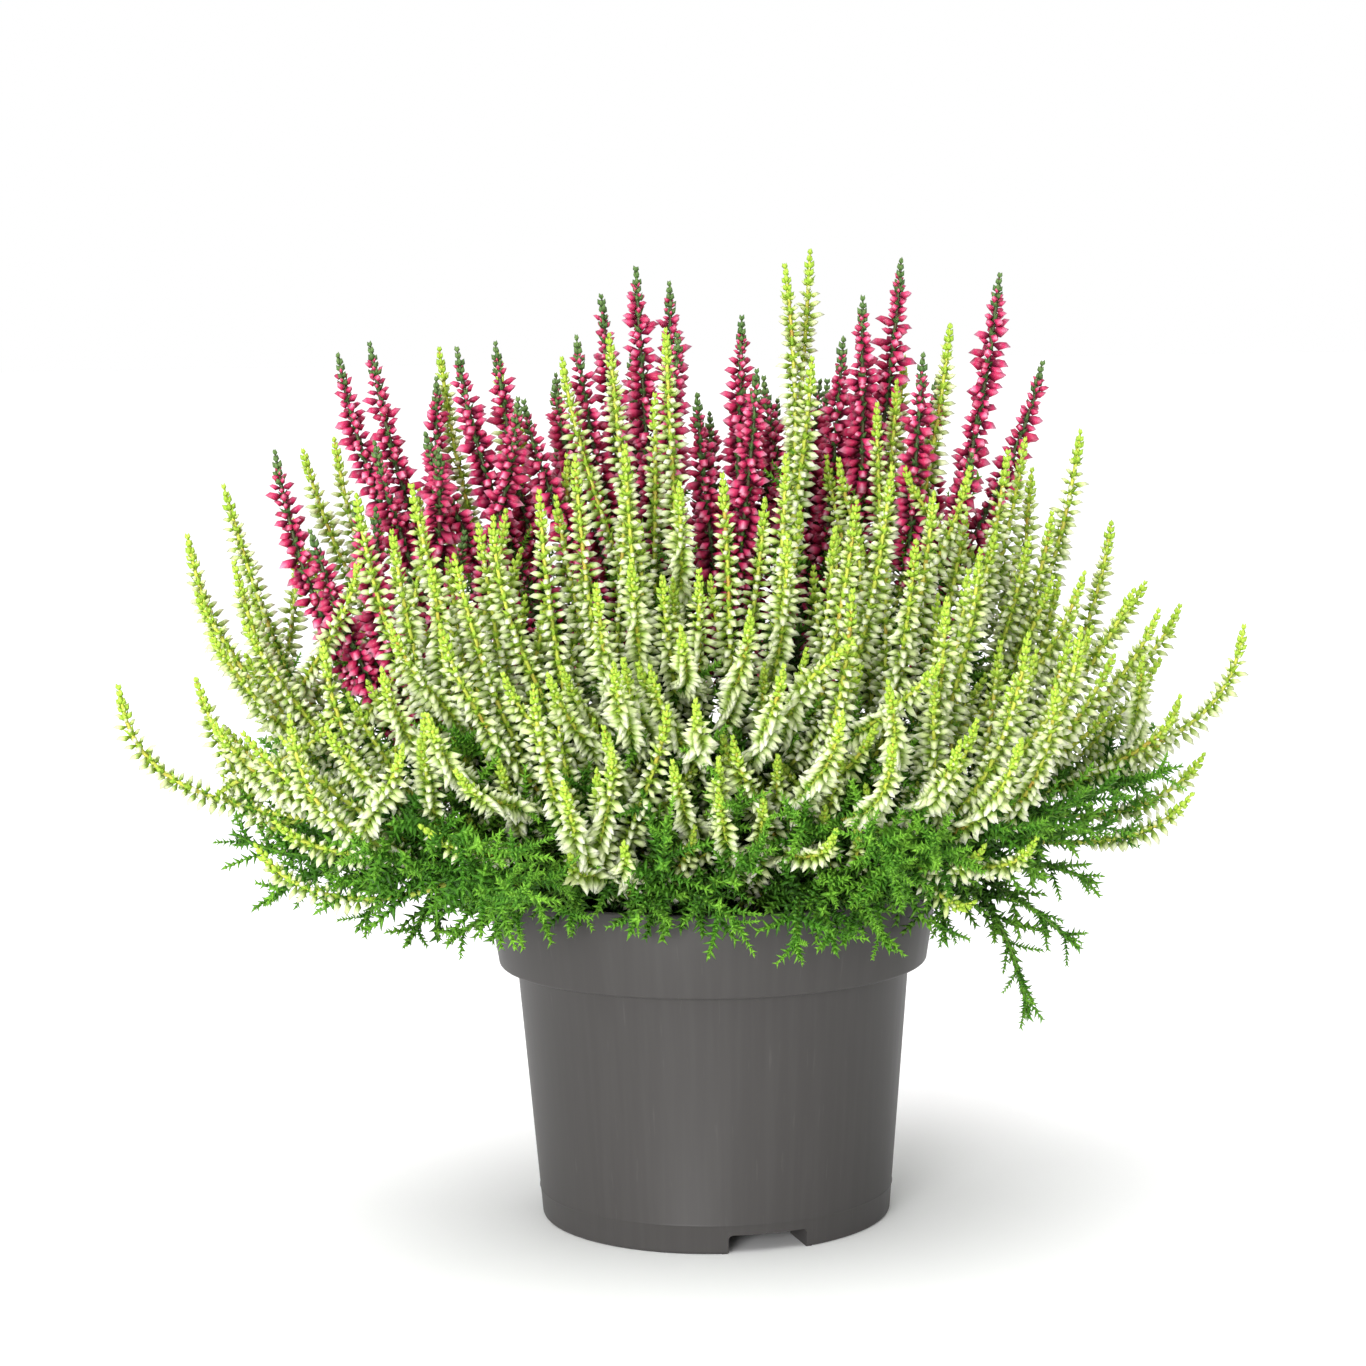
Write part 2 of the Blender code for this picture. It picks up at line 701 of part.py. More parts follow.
def dressed_rings(spike):
    """Rings of a spike's leaves and buds, as distance from the tip, high and low radius, and droop."""
    rings = []
    if spike.kind == "leafy":
        for step in range(1, LEAFY_RINGS + 1):
            rings.append((step * LEAFY_LENGTH / LEAFY_RINGS, LEAFY_RADIUS, LEAFY_WAIST, LEAFY_DROOP))
        return rings
    if spike.leads:
        rings.append((0.5 * TIP_LENGTH, *TIP_RINGS, 0.0))
    count = round(spike.flowered / BUD_PITCH)
    pitch = spike.flowered / count
    for step in range(count):
        swell = math.sin(math.pi * (0.1 + 0.76 * (step + 0.5) / count)) ** 0.6
        rings.append((TIP_LENGTH + step * pitch, spike.bud * swell, AXIS_RADIUS, BUD_DROOP * pitch))
    if spike.leads:
        below = TIP_LENGTH + spike.flowered + COLLAR_BELOW
        rings.append((below, COLLAR_RADIUS, COLLAR_WAIST, COLLAR_DROOP))
    return rings


def over_rim(path, run, lowest):
    """Where a bare stem passes low over the rim, as distances from the tip."""
    outside = np.hypot(path[:, 0], path[:, 1]) > RIM_RADIUS - WALL / 2
    first = np.argmax(outside)
    crossing = run[-1] - run[first]
    low = path[first, 2] < RIM_HEIGHT + RIM_LOW
    return [crossing] if outside.any() and low and crossing > lowest + RING_SPACING else []


def lay_rings(spike, kin, control, root):
    """A spike's rings from base to tip, as arrays of centres, high and low radius and droop."""
    path, run = path_points(control)
    length = run[-1]
    rings = [ring for ring in dressed_rings(spike) if ring[0] < length - BARE_BASE]
    lowest = rings[-1][0]
    bends = over_rim(path, run, lowest)
    if spike.leads:
        shares = np.linspace(0.0, 1.0, len(run))
        marks = [length - float(np.interp(other.fork, shares, run)) for other in kin if not other.leads]
        marks = [mark for mark in marks if mark > lowest + RING_SPACING]
        marks += [bend for bend in bends if all(abs(bend - mark) > RING_SPACING for mark in marks)]
        last = max(marks + [lowest])
        if length - last > LONG_BARE:
            marks.append(0.5 * (length + last))
        rings += [(mark, STEM_RADIUS, STEM_RADIUS, 0.0) for mark in sorted(marks)]
        rings.append((length, STEM_RADIUS, STEM_RADIUS, 0.0))
    else:
        if length - lowest > LONG_BARE and not bends:
            bends = [0.5 * (length + lowest)]
        bends = [bend for bend in bends if bend < length - RING_SPACING]
        rings += [(bend, TWIG_RADIUS, TWIG_RADIUS, 0.0) for bend in bends]
        rings.append((length, 0.5 * TWIG_RADIUS, 0.5 * TWIG_RADIUS, 0.0))
    rings.insert(0, (0.0, 0.0, 0.0, 0.0))
    table = np.array(rings)[::-1]
    centres = np.stack([np.interp(length - table[:, 0], run, path[:, axis]) for axis in range(3)], axis=1)
    sizes = table[:, 1:]
    if spike.leads:
        centres = np.vstack(((*root, STEM_FOOT), centres))
        sizes = np.vstack(((STEM_RADIUS, STEM_RADIUS, 0.0), sizes))
    return centres, sizes


def draw_in(spikes, laid):
    """Shrink the rings that would still touch a spike of another spray."""
    marks = []
    for index, (centres, sizes) in enumerate(laid):
        for ring in range(len(centres) - 1):
            length = np.linalg.norm(centres[ring + 1] - centres[ring])
            for cut in np.arange(0.0, 1.0, CHECK_PITCH / max(length, CHECK_PITCH)):
                place = centres[ring] * (1 - cut) + centres[ring + 1] * cut
                reach = sizes[ring, 0] * (1 - cut) + sizes[ring + 1, 0] * cut
                marks.append((place, reach, index, ring))
    tree = KDTree(len(marks))
    for number, mark in enumerate(marks):
        tree.insert(mark[0], number)
    tree.balance()
    factors = [np.ones(len(centres)) for centres, _ in laid]
    widest = max(mark[1] for mark in marks)
    for place, reach, index, ring in marks:
        for _, number, distance in tree.find_range(place, reach + widest + SPACE):
            _, other_reach, other, _ = marks[number]
            if spikes[other].spray != spikes[index].spray and distance < reach + other_reach + SPACE:
                share = max(LEAST_SHARE, (distance - SPACE) / (reach + other_reach))
                factors[index][ring : ring + 2] = np.minimum(factors[index][ring : ring + 2], share)
    for (_, sizes), factor in zip(laid, factors):
        sizes[:, :2] *= factor[:, None]


def tube(name, centres, sizes, turn, group):
    """A closed loft whose corners stand high and low by turns, so that each bud is a small pyramid."""
    mesh = bpy.data.meshes.new(name)
    shape = bmesh.new()
    count = len(centres) - 1
    span = np.abs(centres[-1] - centres[0])
    side = np.eye(3)[0 if span[0] < span[1] else 1]
    rings = []
    for ring in range(count):
        ahead = centres[ring + 1] - centres[max(ring - 1, 0)]
        ahead /= np.linalg.norm(ahead)
        side = side - ahead * (side @ ahead)
        side /= np.linalg.norm(side)
        other = np.cross(ahead, side)
        high, low, droop = sizes[ring]
        corners = []
        for corner in range(SIDES):
            angle = turn + TURN * ring + 2 * math.pi * corner / SIDES
            tall = (corner + ring) % 2 == 0
            outward = math.cos(angle) * side + math.sin(angle) * other
            point = centres[ring] + (high * outward - droop * ahead if tall else low * outward)
            corners.append(shape.verts.new([float(value) * MM for value in point]))
        rings.append(corners)
    tip = shape.verts.new([float(value) * MM for value in centres[-1]])
    for ring in range(count - 1):
        for corner in range(SIDES):
            after = (corner + 1) % SIDES
            a, b = rings[ring][corner], rings[ring][after]
            d, c = rings[ring + 1][corner], rings[ring + 1][after]
            if (corner + ring) % 2 == 0:
                shape.faces.new((a, b, d))
                shape.faces.new((b, c, d))
            else:
                shape.faces.new((a, b, c))
                shape.faces.new((a, c, d))
    for corner in range(SIDES):
        shape.faces.new((rings[-1][corner], rings[-1][(corner + 1) % SIDES], tip))
    shape.faces.new(list(reversed(rings[0])))
    bmesh.ops.triangulate(shape, faces=[face for face in shape.faces if len(face.verts) > 3])
    shape.to_mesh(mesh)
    shape.free()
    return new_object(name, mesh, group)


def make_sprays(group, spikes, laid, draw):
    """One node for each spray: its leader with the side spikes joined to it."""
    numbers = {"white": 0, "crimson": 0, "leafy": 0}
    for spray in range(spikes[-1].spray + 1):
        members = [index for index, spike in enumerate(spikes) if spike.spray == spray]
        kind = spikes[members[0]].kind
        numbers[kind] += 1
        name = f"{kind}_spray_{numbers[kind]:02d}"
        leader = tube(name, *laid[members[0]], draw.uniform(0.0, math.pi), group)
        leader.data.materials.append(material(kind))
        if len(members) > 1:
            side_spikes = collection(f"{name}_side_spikes")
            for index in members[1:]:
                tube(f"{name}_{index}", *laid[index], draw.uniform(0.0, math.pi), side_spikes)
            boolean(leader, side_spikes, "UNION")
            fill_pockets(leader)
            clear_collection(side_spikes)


def main():
    """Build the pot, the soil and every spray."""
    clear_scene()
    group = collection("potted_heather")
    cutters = collection("cutters")
    draw = random.Random(7)
    sprays = all_sprays(draw)
    spikes = [
        Spike(number, kind, tip, rank, draw)
        for number, (kind, tips) in enumerate(sprays)
        for rank, tip in enumerate(tips)
    ]
    roots = place_roots(spikes, len(sprays))
    controls = ease_apart(spikes, first_controls(spikes, roots))
    laid = []
    for index, spike in enumerate(spikes):
        kin = [other for other in spikes if other.spray == spike.spray]
        laid.append(lay_rings(spike, kin, controls[index], roots[spike.spray]))
    draw_in(spikes, laid)
    make_pot(group, cutters)
    make_soil(group, cutters, roots)
    make_sprays(group, spikes, laid, draw)


main()
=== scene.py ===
"""Looks of the potted heather: a nursery pot, its soil and two colours of bud-flowering heather.

Lengths are in millimetres until a mesh is made. The frame is that of the solids: +Z is up, +X is the
viewer's right, -Y faces the viewer and the origin is on the ground, on the pot's axis.
"""

import json
import logging
import math
import random
from collections.abc import Iterable, Sequence
from dataclasses import asdict, dataclass, field
from enum import Enum
from typing import Any

import bmesh
import bpy
import numpy as np
from bpy.types import ID, Collection, Material, Mesh, Node, NodeSocket, NodeTree, Object
from mathutils import Matrix, Vector

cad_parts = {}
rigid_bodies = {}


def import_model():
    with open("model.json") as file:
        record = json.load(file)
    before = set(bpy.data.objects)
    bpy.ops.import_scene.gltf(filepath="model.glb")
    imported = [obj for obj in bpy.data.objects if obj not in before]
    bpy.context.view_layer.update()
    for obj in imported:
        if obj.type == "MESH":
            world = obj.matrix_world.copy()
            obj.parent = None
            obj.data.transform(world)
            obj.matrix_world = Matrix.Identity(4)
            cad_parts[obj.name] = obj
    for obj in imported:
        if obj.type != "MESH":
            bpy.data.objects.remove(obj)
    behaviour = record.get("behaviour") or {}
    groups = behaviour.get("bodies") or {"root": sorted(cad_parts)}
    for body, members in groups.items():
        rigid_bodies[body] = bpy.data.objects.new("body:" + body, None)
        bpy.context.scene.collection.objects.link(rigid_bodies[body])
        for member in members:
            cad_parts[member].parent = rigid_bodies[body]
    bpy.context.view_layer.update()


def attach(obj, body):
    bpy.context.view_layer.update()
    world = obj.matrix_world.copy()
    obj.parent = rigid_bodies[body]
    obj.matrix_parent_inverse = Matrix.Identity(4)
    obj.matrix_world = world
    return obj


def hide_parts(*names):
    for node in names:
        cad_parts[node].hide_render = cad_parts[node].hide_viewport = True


MM = 0.001
SEED = 7
PATH_STEPS = 120
BODY = "root"
LOG = logging.getLogger("potted_heather")
MATH = "ShaderNodeMath"
MULTIPLY = {"operation": "MULTIPLY"}
MULTIPLY_ADD = {"operation": "MULTIPLY_ADD"}
COLOUR_MIX = {"data_type": "RGBA", "clamp_factor": True}

Tip = tuple[float, ...]
Colour = tuple[float, float, float, float]


class Kind(Enum):
    """What a spray bears."""

    WHITE = "white"
    CRIMSON = "crimson"
    LEAFY = "leafy"


class Sector(Enum):
    """The quarter of the plant that a spray stands in, by its leading tip."""

    FRONT_LEFT = "front_left"
    FRONT_RIGHT = "front_right"
    BACK_LEFT = "back_left"
    BACK_RIGHT = "back_right"


# Growth: the same rule, seed and order of draws as the solids have, so that every axis lies where
# its solid does. One row a spray, its leading spike first. A tip is noted across and up where its
# line of sight cuts the upright plane through the pot's axis, and how far it stands behind that
# plane where it isn't on the plants' near surface
WHITE_SPRAYS: tuple[tuple[Tip, ...], ...] = (
    ((-21, 203), (-20, 173), (-25, 146)),
    ((-34, 200), (-29, 167)),
    ((-46, 139), (-39, 115), (-37, 99), (-24, 98)),
    ((-10, 233, -14), (-7, 193), (-7, 155), (-4, 136)),
    ((3, 195), (11, 159)),
    ((21, 200), (21, 179), (20, 145)),
    ((30, 165), (35, 132), (33, 101)),
    ((40, 187), (43, 150), (48, 125)),
    ((49, 196), (47, 141)),
    ((59, 189), (55, 177), (61, 144)),
    ((71, 174), (63, 162), (66, 124)),
    ((86, 151), (82, 124), (72, 96), (69, 81)),
    ((98, 153), (90, 139), (86, 98)),
    ((-46, 191), (-55, 185)),
    ((-66, 175), (-70, 157), (-67, 118)),
    ((-78, 193), (-84, 156), (-74, 133)),
    ((-91, 191), (-82, 182), (-85, 146), (-79, 104)),
    ((-101, 152), (-101, 130), (-113, 107)),
    ((-111, 134), (-123, 128), (-119, 101)),
    ((-97, 206, 42), (-105, 203, 28), (-109, 186, 14)),
    ((-69, 229, 34), (-88, 188, 62)),
    ((-25, 232, 4), (-37, 226, 14)),
    ((28, 253, 16), (20, 249, 8), (28, 225, -16)),
    ((64, 233, 14), (69, 196, -22)),
    ((84, 203, 8), (79, 200, -8)),
    ((98, 205, 22), (90, 184, 2), (115, 165, 20)),
    ((106, 181, 36), (124, 159, 40), (118, 158, 8)),
    ((141, 153, 34), (124, 135, 8), (130, 120, 26), (127, 109, 6)),
    ((-155, 142, -36), (-135, 143, -26), (-129, 119, -24)),
    ((-136, 181, 0), (-124, 174, -14), (-126, 194, 12)),
)
CRIMSON_SPRAYS: tuple[tuple[Tip, ...], ...] = (
    ((-112, 203, -2), (-104, 182, -10)),
    ((-88, 230, 16), (-95, 228, 28), (-86, 205, 6)),
    ((-55, 230, 24), (-64, 229, 14), (-73, 207, 4)),
    ((-27, 242, 34), (-39, 220, 28), (-47, 215, 8)),
    ((-17, 249, 24), (-9, 245, 34)),
    ((10, 236, 20), (17, 222, 6), (-2, 216, 6)),
    ((41, 231, 36), (36, 230, 22), (31, 219, 34)),
    ((51, 250, 26), (59, 220, 36)),
    ((77, 246, 28), (88, 223, 38)),
)
LEAFY_SPRAYS: tuple[tuple[Tip, ...], ...] = (
    ((-117, 86), (-94, 77), (-81, 73), (-98, 96)),
    ((-54, 76), (-70, 73), (-38, 77), (-52, 100)),
    ((-22, 75), (-12, 104), (8, 74), (14, 100)),
    ((32, 69), (23, 68), (47, 69), (52, 96)),
    ((84, 50), (62, 72), (97, 69), (102, 86)),
    ((-50, 126, -50), (-70, 118, -48), (-34, 118, -66), (-58, 108, -66), (-80, 112, -36)),
    ((-6, 124, -52), (-18, 112, -74), (8, 112, -76), (-26, 128, -34), (20, 126, -40)),
    ((54, 128, -44), (38, 116, -62), (68, 112, -56), (84, 122, -26), (34, 132, -26)),
)
FAR_FAN = ((70.0, 222.0, -3.0), (94.0, 188.0, 5.0), (109.0, 150.0, -3.0), (105.0, 116.0, 5.0))
EYE = np.array((-10.0, -849.0, 231.0))


@dataclass(frozen=True)
class PotSizes:
    """The pot's measures, which the plants bend clear of."""

    wall: float = 1.5
    foot_radius: float = 46.3
    foot_round: float = 1.0
    foot_width: float = 2.6
    foot_draft: float = 0.4
    body_top_radius: float = 51.9
    band_bottom: float = 67.8
    band_bottom_radius: float = 56.7
    band_round: float = 0.8
    rim_radius: float = 60.0
    rim_height: float = 89.8
    floor_underside: float = 5.2
    floor_top: float = 7.0
    notch_count: int = 3
    notch_angle: float = 16.0
    notch_width: float = 21.0
    notch_height: float = 5.0
    notch_corner: float = 1.2
    rib_length: float = 13.0
    rib_height: float = 6.0
    rib_end: float = 44.4
    drain_count: int = 6
    drain_radius: float = 3.5
    drain_circle: float = 26.0
    soil_top: float = 78.0
    gap: float = 0.3

    def outer(self, height: float) -> float:
        """The body's outside radius below the band."""
        share = height / self.band_bottom
        return self.foot_radius + (self.body_top_radius - self.foot_radius) * share

    def band(self, height: float) -> float:
        """The rim band's outside radius."""
        share = (height - self.band_bottom) / (self.rim_height - self.band_bottom)
        return self.band_bottom_radius + (self.rim_radius - self.band_bottom_radius) * share


@dataclass(frozen=True)
class GrowthSizes:
    """The measures and shares by which the sprays grow."""

    front_reach: float = 112.0
    half_width: float = 152.0
    dome_widest: float = 125.0
    dome_rise: float = 140.0
    dome_drop: float = 110.0
    dome_least: float = 0.3
    leafy_reach: float = 84.0
    leafy_least: float = 14.0
    far_fans: int = 8
    far_span: tuple[float, float] = (30.0, 150.0)
    far_white: float = 42.0
    far_turn: float = 4.0
    far_stretch: tuple[float, float] = (0.96, 1.04)
    leafy_far: int = 3
    leafy_far_shoots: int = 4
    leafy_far_reach: tuple[float, float] = (84.0, 98.0)
    leafy_far_height: tuple[float, float] = (70.0, 84.0)
    flowered: tuple[float, float] = (52.0, 62.0)
    flowered_less: float = 4.0
    bud_radius: float = 5.4
    bud_spread: tuple[float, float] = (0.94, 1.04)
    upright: float = 106.0
    stem_radius: float = 1.3
    twig_radius: float = 1.05
    stem_start: float = 79.0
    root_spread: float = 0.27
    root_limit: float = 43.0
    root_spacing: float = 6.6
    root_steps: int = 300
    root_ease: float = 0.3
    forks: tuple[float, ...] = (0.0, 0.44, 0.3, 0.2, 0.37, 0.52)
    rise_ways: tuple[tuple[float, float], ...] = ((0.2, 0.4), (0.7, 0.4))
    rise_shares: tuple[tuple[float, float], ...] = ((0.4, -0.45), (0.55, -0.4))
    rise_least: tuple[float, float] = (17.0, 16.0)
    rise_aim: float = 1.0
    hang_ways: tuple[float, float] = (0.35, 0.85)
    hang_heights: tuple[float, float] = (22.0, 20.0)
    hang_aim: float = -0.5
    side_shares: tuple[float, float] = (0.3, 0.34)
    tip_length: float = 8.0
    tip_room: float = 1.8
    tip_share: float = 0.6
    collar_radius: float = 2.7
    collar_room: float = 12.0
    leafy_radius: float = 3.2
    leafy_length: float = 28.0
    space: float = 0.5
    stem_room: float = 0.6
    rim_space: float = 3.5
    rim_side: float = 6.0
    soil_space: float = 0.9
    samples: int = 24
    steps: int = 160
    renew: int = 8
    near_margin: float = 5.0
    kin_from: float = 0.62
    ease: float = 0.55
    push: float = 0.5
    kin_push: float = 0.25
    rim_force: float = 2.0
    hold: tuple[float, float, float, float] = (0.0, 0.02, 0.02, 0.06)
    marks_from: float = 2.0
    soil_share: float = 0.6


@dataclass(frozen=True)
class InfillSizes:
    """How the spikes that fill the gaps between the grown ones are drawn.

    Forks, heights and reaches are shares of the leader's way, height and reach, and a circle gives the
    reach in millimetres instead. Beyond is the least distance aside of a leader's tip, and within the
    greatest of their own. Room is kept from the other spikes, rim room from the rim by the clothed end
    and stem room by the rest of the stem, from the share stem_from on.
    """

    wanted: int = 92
    tries: int = 6000
    kind: Kind | None = None
    front_only: bool = False
    beyond: float = 0.0
    within: float = 400.0
    forks: tuple[float, float] = (0.25, 0.7)
    heights: tuple[float, float] = (0.7, 0.96)
    reaches: tuple[float, float] = (0.5, 0.96)
    circle: tuple[float, float] | None = None
    aside: float = 0.35
    aim: float = 1.0
    steep: float = 0.5
    room: float = 7.6
    widest: float = 116.0
    flowered: tuple[float, float] = (46.0, 54.0)
    marks: int = 13
    rim_room: float = 6.5
    stem_room: float = 2.0
    stem_from: float = 0.25

    def leads(self, spike: "Spike") -> bool:
        """Whether a grown spike may bear these."""
        white = spike.kind is Kind.WHITE
        placed = (white and spike.tip[1] < 0.0) or not self.front_only
        outer = (white and abs(spike.tip[0]) > self.beyond) or not self.beyond
        return spike.rank == 0 and spike.kind is not Kind.LEAFY and placed and outer

    def suit(self, spike: "Spike") -> bool:
        """Whether a drawn spike is steep enough and inside the bounds."""
        across, depth, _ = spike.tip
        inside = math.hypot(across, depth) < self.widest and abs(across) < self.within
        return inside and spike.steepness > self.steep


INFILLS = (
    InfillSizes(),
    InfillSizes(
        wanted=72,
        tries=16000,
        front_only=True,
        forks=(0.06, 0.45),
        heights=(0.26, 0.64),
        circle=(44.0, 94.0),
        aside=0.6,
        aim=0.8,
        steep=0.7,
        room=5.8,
        flowered=(38.0, 52.0),
        rim_room=4.0,
    ),
    InfillSizes(
        wanted=30,
        tries=16000,
        front_only=True,
        within=66.0,
        forks=(0.03, 0.25),
        heights=(0.2, 0.5),
        circle=(58.0, 94.0),
        aside=0.5,
        aim=0.7,
        steep=0.6,
        room=4.8,
        flowered=(38.0, 48.0),
        rim_room=3.5,
    ),
    InfillSizes(
        wanted=44,
        beyond=72.0,
        forks=(0.2, 0.6),
        heights=(0.5, 0.92),
        reaches=(0.66, 0.98),
        aside=0.3,
        aim=0.6,
        steep=0.45,
        room=6.2,
        widest=141.0,
        flowered=(44.0, 54.0),
    ),
    InfillSizes(
        wanted=26,
        kind=Kind.LEAFY,
        front_only=True,
        beyond=45.0,
        steep=0.0,
        forks=(0.25, 0.65),
        heights=(0.14, 0.5),
        reaches=(0.6, 1.0),
        aside=0.6,
        aim=0.4,
        room=4.0,
        widest=128.0,
        flowered=(30.0, 40.0),
        rim_room=2.5,
    ),
    InfillSizes(
        wanted=16,
        kind=Kind.LEAFY,
        beyond=68.0,
        steep=0.1,
        forks=(0.3, 0.7),
        heights=(0.3, 0.66),
        reaches=(0.64, 1.0),
        aside=0.45,
        aim=0.5,
        room=4.2,
        widest=136.0,
        flowered=(30.0, 40.0),
        rim_room=2.5,
    ),
)


def bernstein(shares: Any) -> np.ndarray:
    """Cubic Bezier weights at each share of the way, one row each.

    Args:
        shares: One share or several, from 0 to 1.

    Returns:
        An array with four weights a row.
    """
    t = np.atleast_1d(np.asarray(shares, float))[:, None]
    return np.hstack(((1 - t) ** 3, 3 * t * (1 - t) ** 2, 3 * t * t * (1 - t), t**3))


@dataclass
class Spike:
    """One flower spike or leafy shoot: where its tip stands and the path that its axis follows."""

    spray: int
    kind: Kind
    tip: np.ndarray
    rank: int
    flowered: float = 0.0
    bud: float = 0.0
    hangs: bool = False
    control: np.ndarray = field(default_factory=lambda: np.zeros((4, 3)))
    path: np.ndarray = field(default_factory=lambda: np.zeros((0, 3)))
    run: np.ndarray = field(default_factory=lambda: np.zeros(0))

    def settle(self, control: np.ndarray) -> None:
        """Keep the settled control points and the fine path through them.

        Args:
            control: Four points in millimetres.
        """
        self.control = control
        self.path = bernstein(np.linspace(0.0, 1.0, PATH_STEPS + 1)) @ control
        pieces = np.linalg.norm(np.diff(self.path, axis=0), axis=1)
        self.run = np.concatenate(([0.0], np.cumsum(pieces)))

    @property
    def length(self) -> float:
        """The path's length."""
        return float(self.run[-1])

    @property
    def steepness(self) -> float:
        """The rise of the line from its base to its tip: 1 is upright and 0 is level."""
        span = self.control[3] - self.control[0]
        return float(span[2] / np.linalg.norm(span))

    def at(self, from_tip: np.ndarray) -> np.ndarray:
        """Points of the path at distances from its tip.

        Args:
            from_tip: Distances in millimetres.

        Returns:
            One point a row.
        """
        where = self.length - from_tip
        return np.stack([np.interp(where, self.run, self.path[:, axis]) for axis in range(3)], axis=1)


class Growth:
    """Grows the sprays and eases their paths apart."""

    def __init__(self, sizes: GrowthSizes, pot: PotSizes) -> None:
        """Keep the measures and start the seeded draws."""
        self.sizes = sizes
        self.pot = pot
        self.draw = random.Random(SEED)
        self.spikes: list[Spike] = []
        self.roots = np.zeros((0, 2))
        self.nodes: list[str] = []

    def grow(self) -> None:
        """Place every spike, its root and its path."""
        sprays = self.all_sprays()
        counts = dict.fromkeys(Kind, 0)
        for number, (kind, tips) in enumerate(sprays):
            counts[kind] += 1
            self.nodes.append(f"{kind.value}_spray_{counts[kind]:02d}")
            for rank, tip in enumerate(tips):
                self.spikes.append(self.spike(number, kind, tip, rank))
        self.place_roots(len(sprays))
        controls = self.ease_apart(self.first_controls())
        for spike, control in zip(self.spikes, controls):
            spike.settle(control)

    def spike(self, spray: int, kind: Kind, tip: np.ndarray, rank: int) -> Spike:
        """A spike with its seeded length and width.

        Args:
            spray: The number of its spray.
            kind: What it bears.
            tip: Where its tip stands.
            rank: 0 for the leader and above for side spikes.

        Returns:
            The spike, with no path yet.
        """
        sizes = self.sizes
        made = Spike(spray, kind, tip, rank, hangs=kind is Kind.LEAFY and tip[2] < sizes.upright)
        if kind is not Kind.LEAFY:
            made.flowered = self.draw.uniform(*sizes.flowered) - sizes.flowered_less * rank
            made.bud = sizes.bud_radius * self.draw.uniform(*sizes.bud_spread)
        return made

    def tip_place(self, kind: Kind, across: float, up: float, back: float | None = None) -> np.ndarray:
        """A tip in space, on its kind's near surface unless it is noted how far back it stands.

        Args:
            kind: What the spray bears.
            across: Where the line of sight cuts the plane of the tips, to the right.
            up: The height of that point.
            back: How far the tip stands behind the plane.

        Returns:
            The tip.
        """
        sizes = self.sizes
        if back is None and kind is Kind.LEAFY:
            back = -math.sqrt(max(sizes.leafy_reach**2 - across**2, sizes.leafy_least**2))
        elif back is None:
            width = math.sqrt(max(0.0, 1.0 - (across / sizes.half_width) ** 2))
            above = up - sizes.dome_widest
            inwards = max(above / sizes.dome_rise, -above / sizes.dome_drop)
            back = -sizes.front_reach * width * max(sizes.dome_least, 1.0 - inwards)
        seen = np.array((across, 0.0, up))
        return EYE + (seen - EYE) * (back - EYE[1]) / -EYE[1]

    def far_angles(self, count: int) -> list[float]:
        """Evenly spaced angles round the far side, in degrees."""
        first, last = self.sizes.far_span
        return [first + (last - first) * (index + 0.5) / count for index in range(count)]

    def far_sprays(self) -> list[tuple[Kind, list[np.ndarray]]]:
        """Fans of spikes and leafy shoots round the side that the viewer doesn't see.

        Returns:
            A kind and its tips for each spray.
        """
        sizes, draw = self.sizes, self.draw
        sprays = []
        for index, angle in enumerate(self.far_angles(sizes.far_fans)):
            kind = Kind.WHITE if min(angle, 180.0 - angle) < sizes.far_white else Kind.CRIMSON
            tips = []
            for reach, height, aside in FAR_FAN[: 3 + index % 2]:
                turn = math.radians(angle + aside + draw.uniform(-sizes.far_turn, sizes.far_turn))
                reach *= draw.uniform(*sizes.far_stretch)
                height *= draw.uniform(*sizes.far_stretch)
                tips.append(np.array((reach * math.cos(turn), reach * math.sin(turn), height)))
            sprays.append((kind, tips))
        tips = []
        for angle in self.far_angles(sizes.leafy_far * sizes.leafy_far_shoots):
            turn = math.radians(angle + draw.uniform(-sizes.far_turn, sizes.far_turn))
            reach = draw.uniform(*sizes.leafy_far_reach)
            height = draw.uniform(*sizes.leafy_far_height)
            tips.append(np.array((reach * math.cos(turn), reach * math.sin(turn), height)))
            if len(tips) == sizes.leafy_far_shoots:
                sprays.append((Kind.LEAFY, tips))
                tips = []
        return sprays

    def all_sprays(self) -> list[tuple[Kind, list[np.ndarray]]]:
        """Every spray as its kind and its tips, the leading spike first."""
        tables = {Kind.WHITE: WHITE_SPRAYS, Kind.CRIMSON: CRIMSON_SPRAYS, Kind.LEAFY: LEAFY_SPRAYS}
        sprays = []
        for kind, rows in tables.items():
            sprays += [(kind, [self.tip_place(kind, *tip) for tip in row]) for row in rows]
        return sprays + self.far_sprays()

    def place_roots(self, count: int) -> None:
        """Give each spray a root under its leading tip and space the roots over the soil.

        Args:
            count: The number of sprays.
        """
        sizes = self.sizes
        roots = np.zeros((count, 2))
        for spike in self.spikes:
            if spike.rank == 0:
                roots[spike.spray] = spike.tip[:2] * sizes.root_spread
        for _ in range(sizes.root_steps):
            line = roots[:, None] - roots[None, :]
            distance = np.linalg.norm(line, axis=2) + np.eye(count) * 2 * sizes.root_limit
            missing = np.maximum(0.0, sizes.root_spacing - distance)
            roots += (line * (sizes.root_ease * missing / distance)[:, :, None]).sum(axis=1)
            reach = np.linalg.norm(roots, axis=1)
            far = reach > sizes.root_limit
            roots[far] *= (sizes.root_limit / reach[far])[:, None]
        self.roots = roots

    def slope(self, control: np.ndarray, share: float) -> np.ndarray:
        """The unit direction of a path at a share of the way."""
        ends = bernstein((share - 0.01, share + 0.01)) @ control
        line = ends[1] - ends[0]
        return line / np.linalg.norm(line)

